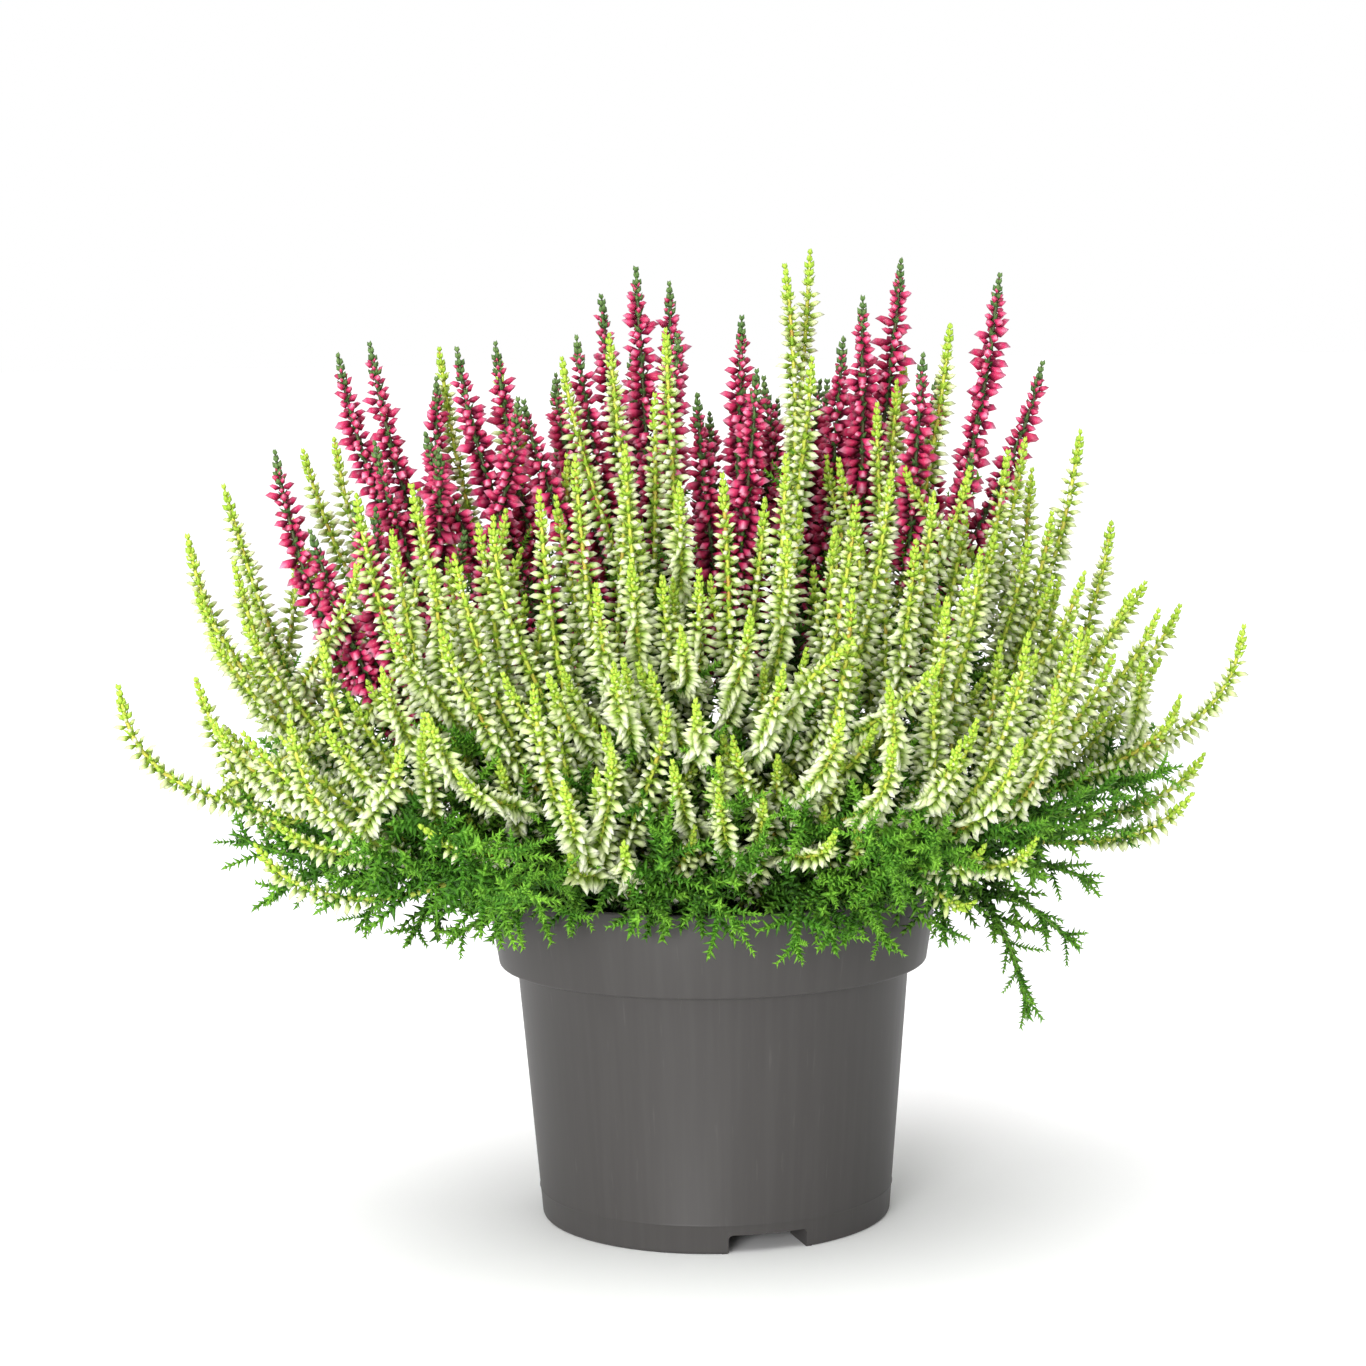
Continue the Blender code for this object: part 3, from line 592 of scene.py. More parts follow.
    def first_controls(self) -> np.ndarray:
        """Bezier control points of every path before they are eased apart.

        Returns:
            Four points for each spike.
        """
        sizes = self.sizes
        controls = np.zeros((len(self.spikes), 4, 3))
        leader = 0
        for index, spike in enumerate(self.spikes):
            if spike.rank == 0:
                leader = index
                start = np.array((*self.roots[spike.spray], sizes.stem_start))
                span = spike.tip - start
                level = np.array((span[0], span[1], 0.0))
                ways, heights = sizes.hang_ways, sizes.hang_heights
                if not spike.hangs:
                    out = np.linalg.norm(level)
                    lean = out / (out + span[2])
                    ways = [first + more * lean for first, more in sizes.rise_ways]
                    heights = [
                        max((first + more * lean) * span[2], least)
                        for (first, more), least in zip(sizes.rise_shares, sizes.rise_least)
                    ]
                second = start + ways[0] * level + np.array((0.0, 0.0, heights[0]))
                third = start + ways[1] * level + np.array((0.0, 0.0, heights[1]))
            else:
                fork = sizes.forks[spike.rank]
                start = bernstein(fork)[0] @ controls[leader]
                span = spike.tip - start
                reach = np.linalg.norm(span)
                second = start + sizes.side_shares[0] * reach * self.slope(controls[leader], fork)
                rise = sizes.hang_aim if spike.hangs else sizes.rise_aim
                aim = span / reach + np.array((0.0, 0.0, rise))
                third = spike.tip - sizes.side_shares[1] * reach * aim / np.linalg.norm(aim)
            controls[index] = (start, second, third, spike.tip)
        return controls

    def attach_forks(self, controls: np.ndarray) -> None:
        """Start each side spike on its leader."""
        leader = 0
        for index, spike in enumerate(self.spikes):
            if spike.rank == 0:
                leader = index
            else:
                controls[index, 0] = bernstein(self.sizes.forks[spike.rank])[0] @ controls[leader]

    def thickness(self, spike: Spike, from_tip: np.ndarray) -> np.ndarray:
        """The radius that a spike takes up at distances from its tip."""
        sizes = self.sizes
        if spike.kind is Kind.LEAFY:
            bare = sizes.twig_radius + sizes.stem_room
            return np.where(from_tip < sizes.leafy_length, sizes.leafy_radius, bare)
        end = sizes.tip_length + spike.flowered
        flowers = np.where(from_tip < sizes.tip_share * sizes.tip_length, sizes.tip_room, spike.bud)
        bare = sizes.stem_radius + sizes.stem_room
        stem = np.where(from_tip < end + sizes.collar_room, sizes.collar_radius, bare)
        return np.where(from_tip < end, flowers, stem)

    def rim_push(self, points: np.ndarray, radius: np.ndarray) -> np.ndarray:
        """How far each point has to move to clear the pot's rim and the soil."""
        sizes, pot = self.sizes, self.pot
        push = np.zeros_like(points)
        reach = np.hypot(points[:, 0], points[:, 1]) + 1e-6
        outward = points[:, :2] / reach[:, None]
        across = reach - (pot.rim_radius - pot.wall / 2)
        over = points[:, 2] - (pot.rim_height - pot.wall / 2)
        need = radius + sizes.rim_space
        near = np.hypot(across, np.maximum(over, 0.0))
        lift = (near < need) & (over > -sizes.rim_side)
        push[lift, 2] += (need - near)[lift]
        beside = (over <= -sizes.rim_side) & (np.abs(across) < need)
        side = np.where(across > 0.0, need - across, -need - across)
        push[beside, :2] += (outward * side[:, None])[beside]
        floor = pot.soil_top + radius + sizes.soil_space
        ground = (across < 0.0) & (points[:, 2] < floor)
        push[ground, 2] += (floor - points[:, 2])[ground]
        return push

    def near_pairs(self, points: np.ndarray, radius: np.ndarray) -> tuple[np.ndarray, np.ndarray]:
        """Pairs of points whose rounds come within the near margin of each other."""
        square = (points**2).sum(axis=1)
        apart = square[:, None] + square[None, :] - 2.0 * points @ points.T
        need = radius[:, None] + radius[None, :] + self.sizes.near_margin
        return np.nonzero(np.triu(apart < need**2, 1))

    def ease_apart(self, controls: np.ndarray) -> np.ndarray:
        """Bend the paths clear of each other, the rim and the soil.

        Args:
            controls: The first control points.

        Returns:
            The settled control points.
        """
        sizes = self.sizes
        count = len(self.spikes)
        shares = np.linspace(0.04, 1.0, sizes.samples)
        weights = bernstein(shares)
        aims = controls.copy()
        own = np.repeat(np.arange(count), sizes.samples)
        spray = np.array([spike.spray for spike in self.spikes])[own]
        late = np.tile(shares > sizes.kin_from, count)
        hold = np.array(sizes.hold)[:, None]
        for step in range(sizes.steps):
            self.attach_forks(controls)
            path = np.einsum("sk,nkd->nsd", weights, controls)
            pieces = np.linalg.norm(np.diff(path, axis=1), axis=2)
            run = np.cumsum(pieces[:, ::-1], axis=1)[:, ::-1]
            from_tip = np.concatenate((run, np.zeros((count, 1))), axis=1)
            widths = [self.thickness(spike, from_tip[i]) for i, spike in enumerate(self.spikes)]
            radius = np.concatenate(widths)
            points = path.reshape(-1, 3)
            if step % sizes.renew == 0:
                first, second = self.near_pairs(points, radius)
                kin = spray[first] == spray[second]
                keep = (own[first] != own[second]) & (~kin | (late[first] & late[second]))
                first, second, kin = first[keep], second[keep], kin[keep]
            line = points[first] - points[second]
            distance = np.linalg.norm(line, axis=1) + 1e-6
            missing = np.maximum(0.0, radius[first] + radius[second] + sizes.space - distance)
            push = line * (np.where(kin, sizes.kin_push, sizes.push) * missing / distance)[:, None]
            force = sizes.rim_force * self.rim_push(points, radius)
            np.add.at(force, first, push)
            np.add.at(force, second, -push)
            pull = force.reshape(count, sizes.samples, 3)
            change = sizes.ease * np.einsum("sk,nsd->nkd", weights, pull)
            change[:, 0] = 0.0
            controls += change + hold * (aims - controls)
        self.attach_forks(controls)
        return controls

    def marks(self, spike: Spike, count: int) -> np.ndarray:
        """Points along the clothed end of a spike."""
        return spike.at(np.linspace(self.sizes.marks_from, spike.flowered, count))

    def clear_of_pot(self, points: np.ndarray, room: float) -> bool:
        """Whether points keep some room from the rim wall and from the soil."""
        pot = self.pot
        reach = np.hypot(points[:, 0], points[:, 1])
        beside = np.maximum(0.0, np.abs(reach - pot.rim_radius + pot.wall) - pot.wall)
        above = np.maximum(0.0, points[:, 2] - pot.rim_height)
        soil = (reach > pot.rim_radius) | (points[:, 2] > pot.soil_top + self.sizes.soil_share * room)
        return bool((np.hypot(beside, above) > room).all() and soil.all())

    def infill(self, sizes: InfillSizes) -> None:
        """Add side spikes where the grown ones leave room, each on the leader that it is drawn for.

        Args:
            sizes: How they are drawn.
        """
        leaders = [spike for spike in self.spikes if sizes.leads(spike)]
        taken = np.vstack([self.marks(spike, sizes.marks) for spike in self.spikes if spike.flowered])
        draw = random.Random(SEED + len(self.spikes))
        added = 0
        for _ in range(sizes.tries):
            spike = self.infill_spike(draw.choice(leaders), sizes, draw)
            if not sizes.suit(spike):
                continue
            spike.settle(spike.control)
            marks = self.marks(spike, sizes.marks)
            apart = np.linalg.norm(marks[: sizes.marks // 2 + 1, None] - taken[None], axis=2).min()
            if apart < sizes.room:
                continue
            stem = spike.path[round(sizes.stem_from * PATH_STEPS) :]
            if self.clear_of_pot(marks, sizes.rim_room) and self.clear_of_pot(stem, sizes.stem_room):
                self.spikes.append(spike)
                taken = np.vstack((taken, marks))
                added += 1
            if added == sizes.wanted:
                break
        LOG.info("%d spikes fill gaps", added)

    def infill_spike(self, leader: Spike, sizes: InfillSizes, draw: random.Random) -> Spike:
        """Draw one side spike beside a leader.

        Args:
            leader: The leader.
            sizes: How it is drawn.
            draw: The seeded draws.

        Returns:
            The spike with its control points.
        """
        turn = draw.uniform(-sizes.aside, sizes.aside)
        x, y, height = leader.tip
        reach = draw.uniform(*sizes.reaches)
        if sizes.circle:
            reach = draw.uniform(*sizes.circle) / math.hypot(x, y)
        tip = np.array(
            (
                (x * math.cos(turn) - y * math.sin(turn)) * reach,
                (x * math.sin(turn) + y * math.cos(turn)) * reach,
                self.pot.soil_top + (height - self.pot.soil_top) * draw.uniform(*sizes.heights),
            )
        )
        fork = draw.uniform(*sizes.forks)
        spike = Spike(leader.spray, sizes.kind or leader.kind, tip, 1)
        spike.flowered = draw.uniform(*sizes.flowered)
        spike.bud = self.sizes.bud_radius
        start = bernstein(fork)[0] @ leader.control
        span = tip - start
        length = np.linalg.norm(span)
        aim = span / length + np.array((0.0, 0.0, sizes.aim))
        second = start + self.sizes.side_shares[0] * length * self.slope(leader.control, fork)
        third = tip - self.sizes.side_shares[1] * length * aim / np.linalg.norm(aim)
        spike.control = np.array((start, second, third, tip))
        return spike

    def sector(self, spray: int) -> Sector:
        """The quarter that a spray stands in."""
        leader = next(spike for spike in self.spikes if spike.spray == spray)
        depth = "front" if leader.tip[1] < 0.0 else "back"
        side = "left" if leader.tip[0] < 0.0 else "right"
        return Sector(f"{depth}_{side}")


def linear(hex_colour: str) -> Colour:
    """An sRGB hex colour as a linear one.

    Args:
        hex_colour: Six hex digits after a hash.

    Returns:
        Red, green, blue and an alpha of 1.
    """
    parts = []
    for place in (1, 3, 5):
        value = int(hex_colour[place : place + 2], 16) / 255.0
        parts.append(value / 12.92 if value <= 0.04045 else ((value + 0.055) / 1.055) ** 2.4)
    return (parts[0], parts[1], parts[2], 1.0)


def add_node(
    tree: NodeTree,
    kind: str,
    settings: dict[str, Any] | None = None,
    inputs: dict[str | int, Any] | None = None,
    stops: Sequence[tuple[float, Colour]] = (),
) -> Node:
    """Add a node with its settings, and its inputs as values or as links.

    Args:
        tree: The tree that gets the node.
        kind: The node's type.
        settings: Properties of the node.
        inputs: A value, a socket or a node, whose first output is meant, by input name or number.
        stops: The places and colours of a colour ramp, in order.

    Returns:
        The node.
    """
    node = tree.nodes.new(kind)
    for name, value in (settings or {}).items():
        setattr(node, name, value)
    for name, value in (inputs or {}).items():
        if isinstance(value, Node):
            value = value.outputs[0]
        if isinstance(value, NodeSocket):
            tree.links.new(value, node.inputs[name])
        else:
            node.inputs[name].default_value = value
    if stops:
        elements = node.color_ramp.elements
        while len(elements) < len(stops):
            elements.new(1.0)
        for element, (place, colour) in zip(elements, stops):
            element.position = place
            element.color = colour
    return node


def new_material(name: str) -> tuple[Material, NodeTree, Node]:
    """An empty Principled material.

    Args:
        name: The material's name.

    Returns:
        The material, its tree and its shader node.
    """
    made = bpy.data.materials.new(name)
    made.use_nodes = True
    return made, made.node_tree, made.node_tree.nodes["Principled BSDF"]


@dataclass(frozen=True)
class BudFinish:
    """Dry, waxy sepals of a closed bud: green at the base and coloured from a third of the way."""

    # To the eye: a silky sheen on the rounds of a bud and no sharp highlight
    name: str
    base: str
    body: str
    tip: str
    aged: str
    young: str
    places: tuple[float, float, float] = (0.38, 0.66, 0.92)
    aged_power: float = 2.5
    aged_most: float = 0.75
    young_power: float = 2.0
    young_most: float = 0.6
    roughness: float = 0.48

    def build(self) -> Material:
        """The material: along the bud from base to tip, with younger buds towards a spike's tip."""
        made, tree, shader = new_material(self.name)
        along = add_node(tree, "ShaderNodeAttribute", {"attribute_name": "along"}).outputs["Fac"]
        colours = (self.base, self.body, self.tip)
        stops = [(place, linear(colour)) for place, colour in zip(self.places, colours)]
        colour = add_node(tree, "ShaderNodeValToRGB", None, {"Fac": along}, stops).outputs[0]
        changes = (
            ("shade", self.aged_power, self.aged_most, self.aged),
            ("tint", self.young_power, self.young_most, self.young),
        )
        for attribute, power, most, other in changes:
            own = add_node(tree, "ShaderNodeAttribute", {"attribute_name": attribute}).outputs["Fac"]
            share = add_node(tree, MATH, {"operation": "POWER"}, {0: own, 1: power})
            share = add_node(tree, MATH, MULTIPLY, {0: share, 1: most})
            mixed = {0: share, 6: colour, 7: linear(other)}
            colour = add_node(tree, "ShaderNodeMix", COLOUR_MIX, mixed).outputs[2]
        tree.links.new(colour, shader.inputs["Base Color"])
        shader.inputs["Roughness"].default_value = self.roughness
        return made


@dataclass(frozen=True)
class LeafFinish:
    """Scale leaves with a thin wax: darker at their base, with painted shade deep inside the plant."""

    # To the eye: a dull wax that softens the light on each leaf and leaves its green deep. The darkening
    # towards the middle of the plant is painted shade
    name: str
    dark: str
    middle: str
    bright: str
    # Painted shade: the colour that leaves take deep inside the plant
    shaded: str = "#182408"
    places: tuple[float, float, float] = (0.08, 0.5, 1.0)
    roughness: float = 0.55
    specular: float = 0.25
    patch_mm: float = 14.0
    patch_weight: float = 0.4
    weights: tuple[tuple[str, float], ...] = (("along", 0.5), ("shade", 0.22), ("tint", 0.35))
    middle_mm: float = 105.0
    dome_mm: tuple[float, float, float] = (140.0, 100.0, 100.0)
    dome_edges: tuple[float, float] = (0.35, 0.8)
    light_least: float = 0.12

    def build(self) -> Material:
        """The material: from dark to bright along the leaf and the shoot, with broad patches and painted
        shade towards the plant's middle.
        """
        made, tree, shader = new_material(self.name)
        place = add_node(tree, "ShaderNodeTexCoord").outputs["Object"]
        # Painted shade: the nearer a leaf stands to the middle of a dome inside the plant, the more it takes
        # the shaded colour
        centre = (0.0, 0.0, self.middle_mm * MM)
        dome = tuple(1.0 / (side * MM) for side in self.dome_mm)
        centred = add_node(tree, "ShaderNodeVectorMath", {"operation": "SUBTRACT"}, {0: place, 1: centre})
        inside = add_node(tree, "ShaderNodeVectorMath", {"operation": "MULTIPLY"}, {0: centred, 1: dome})
        out = add_node(tree, "ShaderNodeVectorMath", {"operation": "LENGTH"}, {0: inside}).outputs["Value"]
        near, far = self.dome_edges
        ranges = {"Value": out, 1: near, 2: far, 3: self.light_least, 4: 1.0}
        painted_light_share = add_node(tree, "ShaderNodeMapRange", None, ranges)
        noise = {"Vector": place, "Scale": 1.0 / (self.patch_mm * MM), "Detail": 2.0}
        patches = add_node(tree, "ShaderNodeTexNoise", None, noise)
        ranges = {"Value": patches, 3: -self.patch_weight, 4: self.patch_weight}
        share = add_node(tree, "ShaderNodeMapRange", None, ranges)
        for attribute, weight in self.weights:
            own = add_node(tree, "ShaderNodeAttribute", {"attribute_name": attribute}).outputs["Fac"]
            parts = {0: own, 1: weight, 2: share}
            share = add_node(tree, MATH, MULTIPLY_ADD, parts)
        colours = (self.dark, self.middle, self.bright)
        stops = [(spot, linear(colour)) for spot, colour in zip(self.places, colours)]
        ramp = add_node(tree, "ShaderNodeValToRGB", None, {"Fac": share}, stops)
        mixed = {0: painted_light_share, 6: linear(self.shaded), 7: ramp}
        colour = add_node(tree, "ShaderNodeMix", COLOUR_MIX, mixed).outputs[2]
        tree.links.new(colour, shader.inputs["Base Color"])
        shader.inputs["Roughness"].default_value = self.roughness
        shader.inputs["Specular IOR Level"].default_value = self.specular
        return made


@dataclass(frozen=True)
class BarkFinish:
    """A young stem's skin, with rusty patches where it turns to wood."""

    # To the eye: matt and a little streaky. The real grain is finer and is drawn coarser so that it shows
    name: str
    low: str
    high: str
    rust: str
    rust_share: float
    rust_edge: tuple[float, float] = (0.62, 0.3)
    rust_gain: float = 9.0
    roughness: float = 0.6
    patch_mm: float = 9.0
    grain_mm: float = 0.5
    grain_depth_mm: float = 0.1
    grain_strength: float = 0.3

    def build(self) -> Material:
        """The material: from low to high along the spike, with rusty patches and fine grain."""
        made, tree, shader = new_material(self.name)
        place = add_node(tree, "ShaderNodeTexCoord").outputs["Object"]
        tint = add_node(tree, "ShaderNodeAttribute", {"attribute_name": "tint"}).outputs["Fac"]
        mixed = {0: tint, 6: linear(self.low), 7: linear(self.high)}
        colour = add_node(tree, "ShaderNodeMix", COLOUR_MIX, mixed).outputs[2]
        noise = {"Vector": place, "Scale": 1.0 / (self.patch_mm * MM), "Detail": 3.0}
        patches = add_node(tree, "ShaderNodeTexNoise", None, noise)
        gain = self.rust_gain * self.rust_share
        edge = self.rust_edge[0] - self.rust_edge[1] * self.rust_share
        parts = {0: patches, 1: gain, 2: -gain * edge}
        rusty = add_node(tree, MATH, MULTIPLY_ADD, parts)
        mixed = {0: rusty, 6: colour, 7: linear(self.rust)}
        colour = add_node(tree, "ShaderNodeMix", COLOUR_MIX, mixed).outputs[2]
        tree.links.new(colour, shader.inputs["Base Color"])
        noise = {"Vector": place, "Scale": 1.0 / (self.grain_mm * MM)}
        fine = add_node(tree, "ShaderNodeTexNoise", None, noise)
        relief = {"Height": fine, "Strength": self.grain_strength, "Distance": self.grain_depth_mm * MM}
        bump = add_node(tree, "ShaderNodeBump", None, relief)
        tree.links.new(bump.outputs["Normal"], shader.inputs["Normal"])
        shader.inputs["Roughness"].default_value = self.roughness
        return made


@dataclass(frozen=True)
class WallMarks:
    """One layer of upright marks round the pot's wall, where a stretched noise is above its start."""

    colour: str
    width_mm: float
    length_mm: float
    start: float
    gain: float
    detail: float = 2.0
    roughness: float = 0.5


@dataclass(frozen=True)
class PlasticFinish:
    """Injection-moulded recycled polypropylene: satin, with upright flow streaks and faint drip scuffs."""

    # To the eye: one broad soft sheen up the wall, which the streaks break. The real grain is finer and
    # is drawn coarser so that it shows
    name: str = "moulded_polypropylene"
    body: str = "#434140"
    streaks: WallMarks = WallMarks("#494746", 3.0, 60.0, 0.42, 2.2, 4.0, 0.6)
    scuffs: WallMarks = WallMarks("#6A6765", 1.4, 14.0, 0.66, 1.6)
    radius_mm: float = 52.0
    specular: float = 0.16
    roughness: tuple[float, float] = (0.42, 0.48)
    roughness_edges: tuple[float, float] = (0.3, 0.7)
    grain_mm: float = 0.35
    grain_share: float = 0.3
    relief_mm: float = 0.05
    relief_strength: float = 0.15

    def build(self) -> Material:
        """The material: marks run up the wall, and a fine grain breaks the sheen."""
        made, tree, shader = new_material(self.name)
        place = add_node(tree, "ShaderNodeTexCoord").outputs["Object"]
        split = add_node(tree, "ShaderNodeSeparateXYZ", None, {"Vector": place}).outputs
        turn = add_node(tree, MATH, {"operation": "ARCTAN2"}, {0: split["Y"], 1: split["X"]})
        colour: Any = linear(self.body)
        noises = []
        for marks in (self.streaks, self.scuffs):
            parts = {0: turn, 1: self.radius_mm / marks.width_mm}
            round_way = add_node(tree, MATH, MULTIPLY, parts)
            parts = {0: split["Z"], 1: marks.length_mm * MM}
            rise = add_node(tree, MATH, {"operation": "DIVIDE"}, parts)
            along = add_node(tree, "ShaderNodeCombineXYZ", None, {"X": round_way, "Z": rise})
            noise = {"Vector": along, "Scale": 1.0, "Detail": marks.detail, "Roughness": marks.roughness}
            noises.append(add_node(tree, "ShaderNodeTexNoise", None, noise))
            parts = {0: noises[-1], 1: marks.gain, 2: -marks.gain * marks.start}
            share = add_node(tree, MATH, MULTIPLY_ADD, parts)
            mixed = {0: share, 6: colour, 7: linear(marks.colour)}
            colour = add_node(tree, "ShaderNodeMix", COLOUR_MIX, mixed).outputs[2]
        tree.links.new(colour, shader.inputs["Base Color"])
        ranges = {"Value": noises[0], **dict(enumerate((*self.roughness_edges, *self.roughness), 1))}
        sheen = add_node(tree, "ShaderNodeMapRange", None, ranges)
        tree.links.new(sheen.outputs["Result"], shader.inputs["Roughness"])
        shader.inputs["Specular IOR Level"].default_value = self.specular
        noise = {"Vector": place, "Scale": 1.0 / (self.grain_mm * MM), "Detail": 2.0}
        fine = add_node(tree, "ShaderNodeTexNoise", None, noise)
        parts = {0: fine, 1: self.grain_share, 2: noises[0]}
        height = add_node(tree, MATH, MULTIPLY_ADD, parts)
        relief = {"Height": height, "Strength": self.relief_strength, "Distance": self.relief_mm * MM}
        bump = add_node(tree, "ShaderNodeBump", None, relief)
        tree.links.new(bump.outputs["Normal"], shader.inputs["Normal"])
        return made


@dataclass(frozen=True)
class PeatFinish:
    """Moist peat: near-black brown crumbs with a few paler fibres."""

    # To the eye: quite matt, and so rough that no light glances off it
    name: str = "moist_peat"
    dark: str = "#1A120C"
    pale: str = "#4A3523"
    places: tuple[float, float] = (0.45, 0.75)
    crumb_mm: float = 2.2
    relief_mm: float = 0.6
    relief_strength: float = 0.8
    roughness: float = 0.9

    def build(self) -> Material:
        """The material: crumbs in colour and in relief."""
        made, tree, shader = new_material(self.name)
        place = add_node(tree, "ShaderNodeTexCoord").outputs["Object"]
        noise = {"Vector": place, "Scale": 1.0 / (self.crumb_mm * MM), "Detail": 6.0}
        crumbs = add_node(tree, "ShaderNodeTexNoise", None, noise)
        stops = list(zip(self.places, (linear(self.dark), linear(self.pale))))
        ramp = add_node(tree, "ShaderNodeValToRGB", None, {"Fac": crumbs}, stops)
        tree.links.new(ramp.outputs["Color"], shader.inputs["Base Color"])
        relief = {"Height": crumbs, "Strength": self.relief_strength, "Distance": self.relief_mm * MM}
        bump = add_node(tree, "ShaderNodeBump", None, relief)
        tree.links.new(bump.outputs["Normal"], shader.inputs["Normal"])
        shader.inputs["Roughness"].default_value = self.roughness
        return made


@dataclass(frozen=True)
class PaperFinish:
    """Matt white background paper."""

    # To the eye: an even white without shine, on which only the shadow shows
    name: str = "white_paper"
    colour: str = "#FFFFFF"
    roughness: float = 0.9
    specular: float = 0.1

    def build(self) -> Material:
        """The plain material."""
        made, _, shader = new_material(self.name)
        shader.inputs["Base Color"].default_value = linear(self.colour)
        shader.inputs["Roughness"].default_value = self.roughness
        shader.inputs["Specular IOR Level"].default_value = self.specular
        return made


def clear_scene() -> None:
    """Remove every object that the file opened with."""
    for thing in list(bpy.data.objects):
        bpy.data.objects.remove(thing)


def plain_mesh(name: str, shape: bmesh.types.BMesh) -> Mesh:
    """A named mesh of a shape, which is freed."""
    mesh = bpy.data.meshes.new(name)
    shape.to_mesh(mesh)
    shape.free()
    return mesh


def make_object(name: str, data: ID) -> Object:
    """Put a mesh, a light or a camera in the scene as a named object."""
    thing = bpy.data.objects.new(name, data)
    bpy.context.scene.collection.objects.link(thing)
    return thing


def bake_modifiers(thing: Object) -> None:
    """Turn an object's modifiers into its mesh and remove them."""
    graph = bpy.context.evaluated_depsgraph_get()
    mesh = bpy.data.meshes.new_from_object(thing.evaluated_get(graph), depsgraph=graph)
    thing.modifiers.clear()
    thing.data = mesh


def count_triangles(thing: Object) -> int:
    """How many triangles a piece's mesh has."""
    return sum(len(polygon.vertices) - 2 for polygon in thing.data.polygons)


def finish_piece(thing: Object, nodes: Iterable[str] = ()) -> None:
    """Ride a piece on the one body, hide the nodes that it stands for, and report it.

    Args:
        thing: The finished piece.
        nodes: CAD nodes that the piece replaces.
    """
    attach(thing, BODY)
    names = list(nodes)
    if names:
        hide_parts(*names)
    LOG.info("%s: %d triangles, replaces %d nodes", thing.name, count_triangles(thing), len(names))


@dataclass
class Route:
    """A stretch of stem that repeats follow, from its lower end up."""

    points: np.ndarray
    girth: np.ndarray
    lean: np.ndarray
    tint: np.ndarray
    turn: float = 0.0


def route_mesh(name: str, routes: Sequence[Route]) -> Mesh:
    """A mesh of edge chains, one a route, with the routes' values on its points.

    Args:
        name: The mesh's name.
        routes: The stretches, in millimetres and radians.

    Returns:
        The mesh, in metres.
    """
    points, edges = [], []
    for route in routes:
        first = len(points)
        points += [tuple(point * MM) for point in route.points]
        edges += [(first + i, first + i + 1) for i in range(len(route.points) - 1)]
    mesh = bpy.data.meshes.new(name)
    mesh.from_pydata(points, edges, [])
    values = {
        "girth": [route.girth for route in routes],
        "lean": [route.lean for route in routes],
        "tint": [route.tint for route in routes],
        "turn": [np.full(len(route.points), route.turn) for route in routes],
    }
    for key, parts in values.items():
        attribute = mesh.attributes.new(key, "FLOAT", "POINT")
        attribute.data.foreach_set("value", np.concatenate(parts).astype(np.float32))
    return mesh


class GeometryTree:
    """A geometry node group with named inputs, run on a piece and then applied."""

    def __init__(self, name: str, inputs: Sequence[tuple[str, str]]) -> None:
        """Make the group with a geometry input and output and the given inputs.

        Args:
            name: The group's name.
            inputs: Names and socket types.
        """
        self.group = bpy.data.node_groups.new(name, "GeometryNodeTree")
        face = self.group.interface
        face.new_socket("Geometry", in_out="INPUT", socket_type="NodeSocketGeometry")
        for label, kind in inputs:
            face.new_socket(label, in_out="INPUT", socket_type=kind)
        face.new_socket("Geometry", in_out="OUTPUT", socket_type="NodeSocketGeometry")
        self.entry = self.group.nodes.new("NodeGroupInput")
        self.exit = self.group.nodes.new("NodeGroupOutput")

    def value(self, label: str) -> NodeSocket:
        """The socket of a named input inside the group."""
        return self.entry.outputs[label]

    def add(self, kind: str, settings: dict | None = None, inputs: dict | None = None) -> Node:
        """Add a node to the group."""
        return add_node(self.group, kind, settings, inputs)

    def chances(self, ranges: Sequence[tuple[float, float]]) -> list[NodeSocket]:
        """Seeded random values for each element, one for each range.

        Args:
            ranges: The least and the most of each value.

        Returns:
            A socket for each range.
        """
        sockets = []
        for offset, (low, high) in enumerate(ranges, 1):
            seed = self.add(MATH, {"operation": "ADD"}, {0: self.value("Seed"), 1: float(offset)})
            inputs = {2: low, 3: high, "Seed": seed}
            sockets.append(self.add("FunctionNodeRandomValue", {"data_type": "FLOAT"}, inputs).outputs[1])
        return sockets

    def place(self, points: Any, turned: Any, size: Any, shown: Any = True) -> Node:
        """Set a shape from the repeats on each point.

        Args:
            points: The points.
            turned: The rotation at each point.
            size: The scale at each point.
            shown: Which points get a shape.

        Returns:
            The node that gives the instances.
        """
        inputs = {"Collection": self.value("Repeats"), "Separate Children": True, "Reset Children": True}
        repeats = self.add("GeometryNodeCollectionInfo", None, inputs)
        inputs = {"Points": points, "Selection": shown, "Instance": repeats, "Pick Instance": True}
        inputs |= {"Rotation": turned, "Scale": size}
        return self.add("GeometryNodeInstanceOnPoints", None, inputs)

    def close(self, geometry: Node) -> None:
        """End the group with smooth faces and the finish."""
        smooth = self.add("GeometryNodeSetShadeSmooth", None, {"Geometry": geometry})
        inputs = {"Geometry": smooth, "Material": self.value("Finish")}
        dressed = self.add("GeometryNodeSetMaterial", None, inputs)
        self.group.links.new(dressed.outputs[0], self.exit.inputs[0])

    def run(self, name: str, mesh: Mesh, values: dict[str, Any]) -> Object:
        """Run the group on a mesh and keep the result as a plain mesh.

        Args:
            name: The new piece's name.
            mesh: What the group starts from.
            values: A value for each named input.

        Returns:
            The piece, with no modifier left on it.
        """
        thing = make_object(name, mesh)
        modifier = thing.modifiers.new("repeats", "NODES")
        modifier.node_group = self.group
        for item in self.group.interface.items_tree:
            if item.item_type == "SOCKET" and item.in_out == "INPUT" and item.name in values:
                modifier[item.identifier] = values[item.name]
        bake_modifiers(thing)
        return thing


